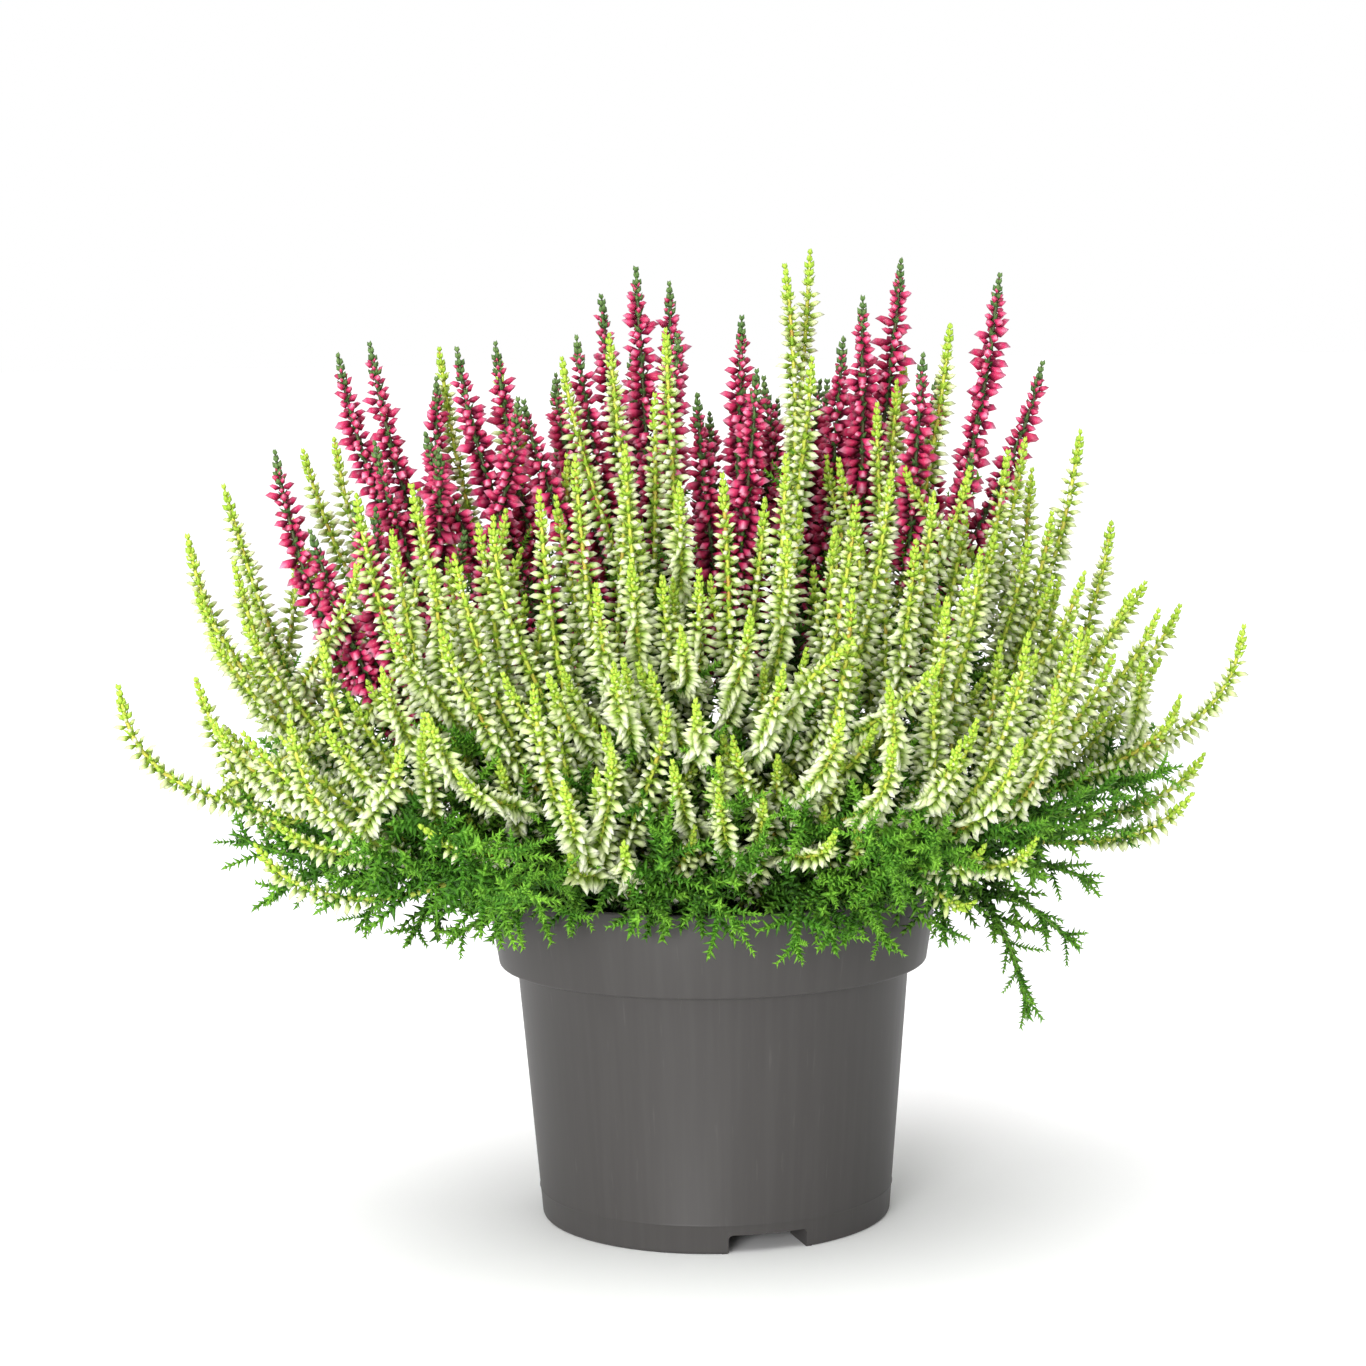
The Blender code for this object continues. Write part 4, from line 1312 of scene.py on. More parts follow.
@dataclass(frozen=True)
class RankStyle:
    """How repeats stand round a stem."""

    pitch: float
    ranks: int
    row_turn: float
    size: float = 1.0
    size_spread: float = 0.1
    lean_spread: float = 0.12
    turn_spread: float = 0.2
    sag: float = 0.0
    thin_above: float = 0.0


class RankTree(GeometryTree):
    """Repeats in ranks round a path: buds, scale leaves, needles and side shoots."""

    smallest: float = 0.12

    def __init__(self) -> None:
        """Build the group: rows along the path, ranks round each row, each repeat leaning and sagging."""
        labels = ["Pitch", "Row turn", "Size", "Size spread", "Lean spread", "Turn spread"]
        labels += ["Sag", "Thin above"]
        inputs = [(label, "NodeSocketFloat") for label in labels]
        inputs += [("Ranks", "NodeSocketInt"), ("Seed", "NodeSocketInt")]
        inputs += [("Repeats", "NodeSocketCollection"), ("Finish", "NodeSocketMaterial")]
        super().__init__("ranks_round_a_path", inputs)
        curve = self.add("GeometryNodeMeshToCurve", None, {"Mesh": self.value("Geometry")})
        spaced = {"Curve": curve, "Length": self.value("Pitch")}
        rows = self.add("GeometryNodeResampleCurve", {"mode": "LENGTH"}, spaced)
        points = self.add("GeometryNodeCurveToPoints", {"mode": "EVALUATED"}, {"Curve": rows})
        stored = {"Geometry": points, "Name": "row", "Value": self.add("GeometryNodeInputIndex")}
        settings = {"data_type": "FLOAT", "domain": "POINT"}
        numbered = self.add("GeometryNodeStoreNamedAttribute", settings, stored)
        amount = {"Geometry": numbered, "Amount": self.value("Ranks")}
        copies = self.add("GeometryNodeDuplicateElements", {"domain": "POINT"}, amount)
        own = {
            label: self.add("GeometryNodeInputNamedAttribute", {"data_type": "FLOAT"}, {"Name": label})
            for label in ("row", "turn", "lean", "girth")
        }
        either_way = (-1.0, 1.0)
        by_turn, by_lean, by_size, shade = self.chances((either_way, either_way, either_way, (0.0, 1.0)))
        step = self.add(MATH, {"operation": "DIVIDE"}, {0: 2 * math.pi, 1: self.value("Ranks")})
        turn = own["turn"]
        turns = ((copies.outputs["Duplicate Index"], step), (own["row"], self.value("Row turn")))
        for count, angle in (*turns, (by_turn, self.value("Turn spread"))):
            turn = self.add(MATH, MULTIPLY_ADD, {0: count, 1: angle, 2: turn})
        parts = {0: by_lean, 1: self.value("Lean spread"), 2: own["lean"]}
        lean = self.add(MATH, MULTIPLY_ADD, parts)
        turned = points.outputs["Rotation"]
        for axis, angle in (((0, 0, 1), turn), ((0, 1, 0), lean)):
            more = self.add("FunctionNodeAxisAngleToRotation", None, {"Axis": axis, "Angle": angle})
            parts = {"Rotation": turned, "Rotate By": more}
            turned = self.add("FunctionNodeRotateRotation", {"rotation_space": "LOCAL"}, parts)
        ahead = self.add("FunctionNodeRotateVector", None, {"Vector": (0, 0, 1), "Rotation": turned})
        down = self.add(MATH, MULTIPLY, {0: self.value("Sag"), 1: -1.0})
        weight = self.add("ShaderNodeCombineXYZ", None, {"Z": down})
        hung = self.add("ShaderNodeVectorMath", {"operation": "ADD"}, {0: ahead, 1: weight})
        parts = {"Rotation": turned, "Vector": hung}
        aimed = self.add("FunctionNodeAlignRotationToVector", {"axis": "Z"}, parts)
        size = self.size(own["girth"], by_size, ahead)
        shown = self.add(MATH, {"operation": "GREATER_THAN"}, {0: size, 1: self.smallest})
        stored = {"Geometry": self.place(copies, aimed, size, shown), "Name": "shade", "Value": shade}
        settings = {"data_type": "FLOAT", "domain": "INSTANCE"}
        shaded = self.add("GeometryNodeStoreNamedAttribute", settings, stored)
        self.close(self.add("GeometryNodeRealizeInstances", None, {"Geometry": shaded}))

    def size(self, girth: Any, chance: Any, ahead: Any) -> Node:
        """The size of each repeat: its stretch's, with a chance, and less on the stem's upper side.

        Args:
            girth: The size that the stretch gives.
            chance: A random value from -1 to 1.
            ahead: The direction that the repeat points in.

        Returns:
            The node that gives the size.
        """
        height = self.add("ShaderNodeSeparateXYZ", None, {"Vector": ahead}).outputs["Z"]
        above = self.add(MATH, {"operation": "MAXIMUM"}, {0: height, 1: 0.0})
        parts = {0: above, 1: self.value("Thin above")}
        thinner = self.add(MATH, MULTIPLY, parts)
        left = self.add(MATH, {"operation": "SUBTRACT"}, {0: 1.0, 1: thinner})
        parts = {0: chance, 1: self.value("Size spread"), 2: 1.0}
        varied = self.add(MATH, MULTIPLY_ADD, parts)
        size = girth
        for factor in (varied, left, self.value("Size")):
            size = self.add(MATH, MULTIPLY, {0: size, 1: factor})
        return size

    def dress(
        self, name: str, routes: Sequence[Route], repeats: Collection, style: RankStyle, finish: Material
    ) -> Object:
        """Clothe routes with repeats.

        Args:
            name: The piece's name.
            routes: The stretches to clothe.
            repeats: The shapes to draw from.
            style: How they stand.
            finish: Their material.

        Returns:
            The piece.
        """
        values = {key.replace("_", " ").capitalize(): value for key, value in asdict(style).items()}
        values |= {"Pitch": style.pitch * MM, "Seed": SEED, "Repeats": repeats, "Finish": finish}
        return self.run(name, route_mesh(name, routes), values)


class StemTree(GeometryTree):
    """A round stem along each path, as thick as the path's girth says."""

    def __init__(self) -> None:
        """Build the group: a ring of sides swept along each path, with both ends closed."""
        super().__init__("stem_along_a_path", [("Sides", "NodeSocketInt"), ("Finish", "NodeSocketMaterial")])
        curve = self.add("GeometryNodeMeshToCurve", None, {"Mesh": self.value("Geometry")})
        circle = {"Resolution": self.value("Sides"), "Radius": 1.0}
        ring = self.add("GeometryNodeCurvePrimitiveCircle", None, circle)
        girth = self.add("GeometryNodeInputNamedAttribute", {"data_type": "FLOAT"}, {"Name": "girth"})
        parts = {"Curve": curve, "Profile Curve": ring, "Scale": girth, "Fill Caps": True}
        self.close(self.add("GeometryNodeCurveToMesh", None, parts))


class ScatterTree(GeometryTree):
    """Crumbs strewn over a surface."""

    least_upward: float = 0.5
    size_range: tuple[float, float] = (0.5, 1.5)

    def __init__(self) -> None:
        """Build the group: seeded points on the surface's upper faces, each with a turned crumb."""
        inputs = [("Density", "NodeSocketFloat"), ("Seed", "NodeSocketInt")]
        inputs += [("Repeats", "NodeSocketCollection"), ("Finish", "NodeSocketMaterial")]
        super().__init__("crumbs_on_a_surface", inputs)
        normal = self.add("GeometryNodeInputNormal")
        up = self.add("ShaderNodeSeparateXYZ", None, {"Vector": normal}).outputs["Z"]
        upper = self.add(MATH, {"operation": "GREATER_THAN"}, {0: up, 1: self.least_upward})
        parts = {"Mesh": self.value("Geometry"), "Selection": upper}
        parts |= {label: self.value(label) for label in ("Density", "Seed")}
        strewn = self.add("GeometryNodeDistributePointsOnFaces", None, parts)
        angle, size = self.chances(((0.0, 2 * math.pi), self.size_range))
        turn = self.add("FunctionNodeAxisAngleToRotation", None, {"Angle": angle})
        placed = self.place(strewn, turn, size)
        real = self.add("GeometryNodeRealizeInstances", None, {"Geometry": placed})
        both = self.add("GeometryNodeJoinGeometry")
        self.group.links.new(real.outputs[0], both.inputs[0])
        self.group.links.new(self.value("Geometry"), both.inputs[0])
        self.close(both)


class Shapes:
    """The small shapes that are repeated, each modelled along +Z from its base, with its share along."""

    def __init__(self) -> None:
        """Start with no groups made."""
        self.made: list[Collection] = []

    def group(self, name: str, meshes: Sequence[Mesh]) -> Collection:
        """A collection of shapes that stays out of the scene.

        Args:
            name: The collection's name.
            meshes: The shapes.

        Returns:
            The collection.
        """
        group = bpy.data.collections.new(name)
        for number, mesh in enumerate(meshes):
            group.objects.link(bpy.data.objects.new(f"{name}_{number}", mesh))
        self.made.append(group)
        return group

    def clear(self) -> None:
        """Remove every shape and its collection."""
        for group in self.made:
            for thing in list(group.objects):
                bpy.data.objects.remove(thing)
            bpy.data.collections.remove(group)

    def spindle(
        self, name: str, length: float, rings: Sequence[tuple[float, float]], sides: int, bend: float = 0.0
    ) -> Mesh:
        """A closed spindle with a point at each end.

        Args:
            name: The mesh's name.
            length: From point to point, in millimetres.
            rings: Share of the way and radius of each ring.
            sides: Corners of a ring.
            bend: How far the tip leans aside, in millimetres.

        Returns:
            The mesh, with the share of the way under "along".
        """
        shape = bmesh.new()
        along = shape.verts.layers.float.new("along")

        def corner(share: float, radius: float, angle: float) -> bmesh.types.BMVert:
            """A corner of the spindle."""
            aside = bend * share * share
            place = (radius * math.cos(angle) + aside, radius * math.sin(angle), share * length)
            vertex = shape.verts.new([value * MM for value in place])
            vertex[along] = share
            return vertex

        base = corner(0.0, 0.0, 0.0)
        rows = []
        for number, (share, radius) in enumerate(rings):
            start = math.pi / sides * (number % 2)
            rows.append([corner(share, radius, start + 2 * math.pi * k / sides) for k in range(sides)])
        tip = corner(1.0, 0.0, 0.0)
        for k in range(sides):
            after = (k + 1) % sides
            shape.faces.new((base, rows[0][after], rows[0][k]))
            shape.faces.new((rows[-1][k], rows[-1][after], tip))
            for number in range(len(rows) - 1):
                low, high = rows[number], rows[number + 1]
                if number % 2 == 0:
                    shape.faces.new((low[k], low[after], high[k]))
                    shape.faces.new((high[k], low[after], high[after]))
                else:
                    shape.faces.new((low[k], high[after], high[k]))
                    shape.faces.new((low[k], low[after], high[after]))
        return plain_mesh(name, shape)

    def buds(self, kind: Kind, width: float, lengths: Sequence[float]) -> Collection:
        """Closed buds, each a plump grain on a narrow green foot.

        Args:
            kind: The colour that they are for.
            width: The radius where they are widest, in millimetres.
            lengths: The length of each, in millimetres.

        Returns:
            The collection of buds.
        """
        rings = ((0.42, width), (0.74, 0.7 * width))
        sides, bend = 3, 0.15
        meshes = [
            self.spindle(f"{kind.value}_bud_{number}", length, rings, sides, bend * number)
            for number, length in enumerate(lengths)
        ]
        return self.group(f"{kind.value}_buds", meshes)

    def scales(self) -> Collection:
        """Two plump scale leaves of a spike's tip."""
        rings, sides, lengths = ((0.55, 0.68),), 4, (2.5, 2.1)
        meshes = [
            self.spindle(f"scale_{number}", length, rings, sides) for number, length in enumerate(lengths)
        ]
        return self.group("scales", meshes)

    def needles(self, name: str, length: float, width: float) -> Collection:
        """A collection with one three-sided needle: widest and flat at its base, its tip a little aside.

        Args:
            name: The collection's name.
            length: In millimetres.
            width: Across the base, in millimetres.

        Returns:
            The collection.
        """
        shape = bmesh.new()
        along = shape.verts.layers.float.new("along")
        corners = []
        half, flatness, lean = width / 2, 0.5, 0.1
        for k in range(3):
            angle = 2 * math.pi * k / 3
            across = half * flatness if k == 0 else half
            place = (across * math.cos(angle), half * math.sin(angle), 0.0)
            corners.append(shape.verts.new([value * MM for value in place]))
        tip = shape.verts.new((lean * length * MM, 0.0, length * MM))
        tip[along] = 1.0
        for k in range(3):
            shape.faces.new((corners[k], corners[(k + 1) % 3], tip))
        shape.faces.new(list(reversed(corners)))
        return self.group(name, [plain_mesh(f"{name}_leaf", shape)])

    def shoots(self, ranks: RankTree, stems: StemTree, needles: Collection) -> Collection:
        """Three feathery shoots of needles in crossed pairs on a slim stem.

        Args:
            ranks: The tree that sets the needles.
            stems: The tree that makes the stem.
            needles: The needle.

        Returns:
            The collection of shoots.
        """
        blank = bpy.data.materials.new("shoot_blank")
        style = RankStyle(pitch=1.3, ranks=2, row_turn=math.pi / 2, size_spread=0.15)
        lengths_and_curls = ((14.0, 2.5), (11.5, 1.5), (9.0, -1.0))
        twist, stem_radius, count = 0.3, 0.28, 4
        meshes = []
        for number, (length, curl) in enumerate(lengths_and_curls):
            share = np.linspace(0.0, 1.0, count)
            points = np.stack((curl * share**2, twist * curl * share, length * share), axis=1)
            girth = np.interp(share, (0.0, 0.2, 0.8, 1.0), (0.8, 1.0, 0.95, 0.7))
            lean = np.interp(share, (0.0, 0.8, 1.0), (1.1, 0.9, 0.6))
            route = Route(points, girth, lean, share)
            leaves = ranks.dress(f"shoot_leaves_{number}", [route], needles, style, blank)
            thin = Route(points, np.full(count, stem_radius * MM), lean, share)
            values = {"Sides": 3, "Finish": blank}
            stem = stems.run(f"shoot_stem_{number}", route_mesh("stem", [thin]), values)
            shape = bmesh.new()
            for thing in (leaves, stem):
                shape.from_mesh(thing.data)
                bpy.data.objects.remove(thing)
            along = shape.verts.layers.float.get("along") or shape.verts.layers.float.new("along")
            for vertex in shape.verts:
                vertex[along] = min(1.0, max(0.0, vertex.co.z / (length * MM)))
            for key in list(shape.verts.layers.float.keys()):
                if key != "along":
                    shape.verts.layers.float.remove(shape.verts.layers.float[key])
            meshes.append(plain_mesh(f"shoot_{number}", shape))
        return self.group("shoots", meshes)

    def crumbs(self) -> Collection:
        """Three lumps of peat."""
        draw = random.Random(SEED)
        radii, swell, flatness = (1.4, 1.0, 0.7), (0.7, 1.25), 0.7
        meshes = []
        for number, radius in enumerate(radii):
            shape = bmesh.new()
            bmesh.ops.create_icosphere(shape, subdivisions=1, radius=radius * MM)
            for vertex in shape.verts:
                vertex.co *= draw.uniform(*swell)
                vertex.co.z *= flatness
            meshes.append(plain_mesh(f"crumb_{number}", shape))
        return self.group("crumbs", meshes)


@dataclass(frozen=True)
class DressSizes:
    """How densely the spikes are clothed, and where each kind of clothing starts and ends.

    Fields that end in from or to are measured from the tip, and those that end in above from the stem's
    base. A pair with above holds a leader's distance and a side spike's.
    """

    bud_pitch: dict[Kind, float] = field(default_factory=lambda: {Kind.WHITE: 1.28, Kind.CRIMSON: 1.1})
    looseness: dict[Kind, float] = field(default_factory=lambda: {Kind.WHITE: 0.16, Kind.CRIMSON: 0.28})
    front_shoot_pitch: float = 13.0
    back_shoot_pitch: float = 21.0
    flowers_from: float = 4.5
    flowers_more: float = 8.0
    flowers_least: float = 0.45
    flowers_by_rise: tuple[float, float] = (0.3, 0.9)
    flowers_above: float = 6.0
    bud_sag: float = 0.12
    bud_thinning: float = 0.35
    bud_row_turn: float = math.pi / 2 + 0.07
    loose_turn: float = 1.8
    tip_from: float = 0.4
    tip_to: float = 8.0
    scales_above: float = 4.0
    foliage_overlap: float = 8.0
    foliage_more: float = 12.0
    foliage_least: float = 4.0
    foliage_above: tuple[float, float] = (10.0, 3.0)
    fronds_above: tuple[float, float] = (8.0, 2.0)
    frond_needles_from: float = 0.3
    frond_shoots_from: float = 5.0
    spacing: float = 2.0
    axis_spacing: float = 4.0
    axis_least: int = 6
    end_radius: float = 0.25
    end_length: float = 3.0
    axis_radius: float = 0.5
    twig_radius: float = 0.75
    twig_taper: float = 0.9
    stem_radius: float = 1.25
    foot_depth: float = 8.0


class Heather:
    """Both plants and the leafy shoots, clothed along the grown axes."""

    def __init__(self, growth: Growth, sizes: DressSizes) -> None:
        """Keep the axes and make the trees, shapes and finishes.

        Args:
            growth: The grown axes.
            sizes: How the spikes are clothed.
        """
        self.growth = growth
        self.sizes = sizes
        self.ranks = RankTree()
        self.stems = StemTree()
        self.shapes = Shapes()
        self.buds = {
            Kind.WHITE: self.shapes.buds(Kind.WHITE, 1.08, (5.1, 4.8, 4.4)),
            Kind.CRIMSON: self.shapes.buds(Kind.CRIMSON, 1.5, (5.9, 5.4, 4.8)),
        }
        self.scales = self.shapes.scales()
        self.short_needles = self.shapes.needles("short_needles", 2.5, 2.0)
        self.long_needles = self.shapes.needles("long_needles", 3.2, 2.0)
        teeth = self.shapes.needles("teeth", 3.1, 1.9)
        self.shoots = self.shapes.shoots(self.ranks, self.stems, teeth)
        self.draw = random.Random(SEED + 1)
        ivory = BudFinish("ivory_bud", "#86A832", "#DCE3B8", "#F4F5E4", "#C6D290", "#BCD254")
        crimson = BudFinish("crimson_bud", "#74183A", "#D82A68", "#F6AAC8", "#B41C4A", "#BC3660")
        self.bud_skins = {Kind.WHITE: ivory.build(), Kind.CRIMSON: crimson.build()}
        lime = LeafFinish("lime_scale_leaf", "#6E9226", "#9ABE38", "#B8D650")
        dark = LeafFinish("dark_scale_leaf", "#2C4420", "#4A6B35", "#6E8A4C")
        self.tip_skins = {Kind.WHITE: lime.build(), Kind.CRIMSON: dark.build()}
        self.leaf_skin = LeafFinish("green_scale_leaf", "#1E3E0A", "#447E1A", "#7EB636").build()
        self.barks = {
            Kind.LEAFY: BarkFinish("green_stem", "#41601A", "#66872A", "#5A4A2C", 0.3).build(),
            Kind.WHITE: BarkFinish("lime_stem", "#9DB040", "#D2DA52", "#C07A3A", 0.35).build(),
            Kind.CRIMSON: BarkFinish("dark_stem", "#3A3322", "#4C5E33", "#5C2E26", 0.4).build(),
        }

    def spikes_of(self, kinds: Sequence[Kind], sector: Sector | None = None) -> list[Spike]:
        """The spikes of some kinds, in one quarter or in all."""
        return [
            spike
            for spike in self.growth.spikes
            if spike.kind in kinds and (sector is None or self.growth.sector(spike.spray) is sector)
        ]

    def route(self, spike: Spike, near: float, far: float, girth: Any, lean: Any, tint: Any) -> Route:
        """A stretch of a spike between two distances from its tip.

        Args:
            spike: The spike.
            near: Where the stretch ends, towards the tip.
            far: Where it starts, towards the base.
            girth: Pairs of share and value for size, from the lower end up.
            lean: The same for the angle from the stem.
            tint: The same for colour.

        Returns:
            The route, from its lower end up.
        """
        count = max(3, round((far - near) / self.sizes.spacing) + 1)
        share = np.linspace(0.0, 1.0, count)
        points = spike.at(far + (near - far) * share)
        values = [np.interp(share, *zip(*pairs)) for pairs in (girth, lean, tint)]
        return Route(points, *values, turn=self.draw.uniform(0.0, 2 * math.pi))

    def flowers(self, kind: Kind, sector: Sector) -> None:
        """The buds of one colour in one quarter, as one piece that stands for its sprays.

        Args:
            kind: The colour.
            sector: The quarter.
        """
        routes = []
        spikes = self.spikes_of([kind], sector)
        if not spikes:
            return
        for spike in spikes:
            far = min(self.flowers_end(spike), spike.length - self.sizes.flowers_above)
            girth = ((0.0, 0.5), (0.12, 0.85), (0.3, 1.0), (0.8, 0.95), (0.92, 0.75), (1.0, 0.5))
            lean = ((0.0, 1.5), (0.7, 1.45), (0.92, 1.1), (1.0, 0.75))
            tint = ((0.0, 0.0), (0.6, 0.25), (1.0, 1.0))
            routes.append(self.route(spike, self.sizes.flowers_from, far, girth, lean, tint))
        loose = self.sizes.looseness[kind]
        style = RankStyle(
            pitch=self.sizes.bud_pitch[kind],
            ranks=2,
            row_turn=self.sizes.bud_row_turn,
            size_spread=loose,
            lean_spread=loose,
            turn_spread=self.sizes.loose_turn * loose,
            sag=self.sizes.bud_sag,
            thin_above=self.sizes.bud_thinning,
        )
        name = f"{kind.value}_buds_{sector.value}"
        piece = self.ranks.dress(name, routes, self.buds[kind], style, self.bud_skins[kind])
        finish_piece(piece, self.nodes_of([kind], sector))

    def flowers_end(self, spike: Spike) -> float:
        """How far from its tip a spike bears flowers, less on one that leans far out."""
        level, rise = self.sizes.flowers_by_rise
        share = min(1.0, max(self.sizes.flowers_least, level + rise * spike.steepness))
        return self.growth.sizes.tip_length + share * (spike.flowered + self.sizes.flowers_more)

    def nodes_of(self, kinds: Sequence[Kind], sector: Sector) -> list[str]:
        """The CAD nodes of some kinds in one quarter."""
        sprays = {spike.spray for spike in self.spikes_of(kinds, sector) if spike.rank == 0}
        return [self.growth.nodes[spray] for spray in sorted(sprays)]

    def tips(self, kind: Kind) -> None:
        """The scale leaves of every spike's tip, and the small leaves among its buds.

        Args:
            kind: The colour.
        """
        sizes = self.sizes
        tips, leaves = [], []
        for spike in self.spikes_of([kind]):
            girth = ((0.0, 0.9), (0.5, 1.0), (1.0, 0.7))
            lean = ((0.0, 0.75), (1.0, 0.25))
            tint = ((0.0, 0.4), (1.0, 1.0))
            tips.append(self.route(spike, sizes.tip_from, sizes.tip_to, girth, lean, tint))
            far = min(self.flowers_end(spike), spike.length - sizes.scales_above)
            girth = ((0.0, 1.0), (1.0, 1.0))
            lean = ((0.0, 0.6), (1.0, 0.5))
            tint = ((0.0, 0.0), (1.0, 0.7))
            leaves.append(self.route(spike, sizes.tip_to, far, girth, lean, tint))
        finish = self.tip_skins[kind]
        style = RankStyle(pitch=1.85, ranks=4, row_turn=math.pi / 4, size=1.15)
        piece = self.ranks.dress(f"{kind.value}_tips", tips, self.scales, style, finish)
        finish_piece(piece)
        style = RankStyle(pitch=3.9, ranks=3, row_turn=math.pi / 3, size=1.2)
        name = f"{kind.value}_axis_leaves"
        piece = self.ranks.dress(name, leaves, self.short_needles, style, finish)
        finish_piece(piece)

    def axes(self, kind: Kind) -> None:
        """The stems of one colour, from their holes in the soil to their tips.

        Args:
            kind: The colour.
        """
        sizes = self.sizes
        routes = []
        for spike in self.spikes_of([kind]):
            end = self.flowers_end(spike)
            count = max(sizes.axis_least, round(spike.length / sizes.axis_spacing))
            from_tip = np.linspace(spike.length, 0.0, count)
            widest = sizes.stem_radius if spike.rank == 0 else sizes.twig_radius
            marks = (0.0, sizes.end_length, end, max(end + 1.0, spike.length))
            radii = (sizes.end_radius, sizes.axis_radius, sizes.twig_radius * sizes.twig_taper, widest)
            girth = np.interp(from_tip, marks, radii)
            points = spike.at(from_tip)
            if spike.rank == 0:
                level = self.growth.pot.soil_top - sizes.foot_depth
                foot = np.array((*self.growth.roots[spike.spray], level))
                points = np.vstack((foot, points))
                girth = np.concatenate(((widest,), girth))
            tint = np.linspace(0.0, 1.0, len(points))
            routes.append(Route(points, girth * MM, np.zeros(len(points)), tint))
        name = f"{kind.value}_stems"
        values = {"Sides": 4 if kind is not Kind.LEAFY else 3, "Finish": self.barks[kind]}
        piece = self.stems.run(name, route_mesh(name, routes), values)
        finish_piece(piece)

    def foliage(self, sector: Sector) -> None:
        """Leaves and leafy side shoots on the lower stems of the flowering sprays in one quarter.

        Args:
            sector: The quarter.
        """
        sizes = self.sizes
        routes, leaves = [], []
        for spike in self.spikes_of([Kind.WHITE, Kind.CRIMSON], sector):
            near = self.flowers_end(spike) - sizes.foliage_overlap
            far = spike.length - sizes.foliage_above[min(spike.rank, 1)]
            if far - near < sizes.foliage_least:
                continue
            girth = ((0.0, 0.8), (0.4, 1.1), (1.0, 0.75))
            lean = ((0.0, 1.0), (1.0, 0.7))
            tint = ((0.0, 0.0), (1.0, 0.8))
            routes.append(self.route(spike, near, far, girth, lean, tint))
            leaves.append(self.route(spike, near - sizes.foliage_more, far, girth, lean, tint))
        style = RankStyle(pitch=1.9, ranks=2, row_turn=math.pi / 2)
        name = f"stem_leaves_{sector.value}"
        piece = self.ranks.dress(name, leaves, self.long_needles, style, self.leaf_skin)
        finish_piece(piece)
        behind = sector in (Sector.BACK_LEFT, Sector.BACK_RIGHT)
        style = RankStyle(
            pitch=sizes.back_shoot_pitch if behind else sizes.front_shoot_pitch,
            ranks=3,
            row_turn=0.9,
            size_spread=0.25,
            lean_spread=0.25,
            turn_spread=0.5,
            sag=-0.1,
        )
        name = f"side_shoots_{sector.value}"
        piece = self.ranks.dress(name, routes, self.shoots, style, self.leaf_skin)
        finish_piece(piece)

    def fronds(self, sector: Sector) -> None:
        """The leafy sprays of one quarter: needles along each shoot and side shoots along its stem.

        Args:
            sector: The quarter.
        """
        spikes = self.spikes_of([Kind.LEAFY], sector)
        if not spikes:
            return
        needles, shoots = [], []
        for spike in spikes:
            far = spike.length - self.sizes.fronds_above[min(spike.rank, 1)]
            girth = ((0.0, 0.9), (0.6, 1.0), (1.0, 0.8))
            lean = ((0.0, 0.95), (1.0, 0.5))
            tint = ((0.0, 0.2), (1.0, 1.0))
            needles.append(self.route(spike, self.sizes.frond_needles_from, far, girth, lean, tint))
            girth = ((0.0, 1.0), (0.5, 1.05), (1.0, 0.65))
            lean = ((0.0, 0.9), (1.0, 0.6))
            tint = ((0.0, 0.0), (1.0, 0.8))
            shoots.append(self.route(spike, self.sizes.frond_shoots_from, far, girth, lean, tint))
        style = RankStyle(pitch=1.2, ranks=2, row_turn=math.pi / 2)
        name = f"frond_needles_{sector.value}"
        piece = self.ranks.dress(name, needles, self.long_needles, style, self.leaf_skin)
        finish_piece(piece, self.nodes_of([Kind.LEAFY], sector))
        style = RankStyle(
            pitch=7.4, ranks=3, row_turn=0.8, size_spread=0.25, lean_spread=0.2, turn_spread=0.4, sag=0.05
        )
        name = f"frond_shoots_{sector.value}"
        piece = self.ranks.dress(name, shoots, self.shoots, style, self.leaf_skin)
        finish_piece(piece)

    def build(self) -> None:
        """Clothe every axis and remove the shapes that were repeated."""
        for kind in (Kind.WHITE, Kind.CRIMSON):
            for sector in Sector:
                self.flowers(kind, sector)
            self.tips(kind)
        for kind in Kind:
            self.axes(kind)
        for sector in Sector:
            self.foliage(sector)
            self.fronds(sector)
        self.shapes.clear()


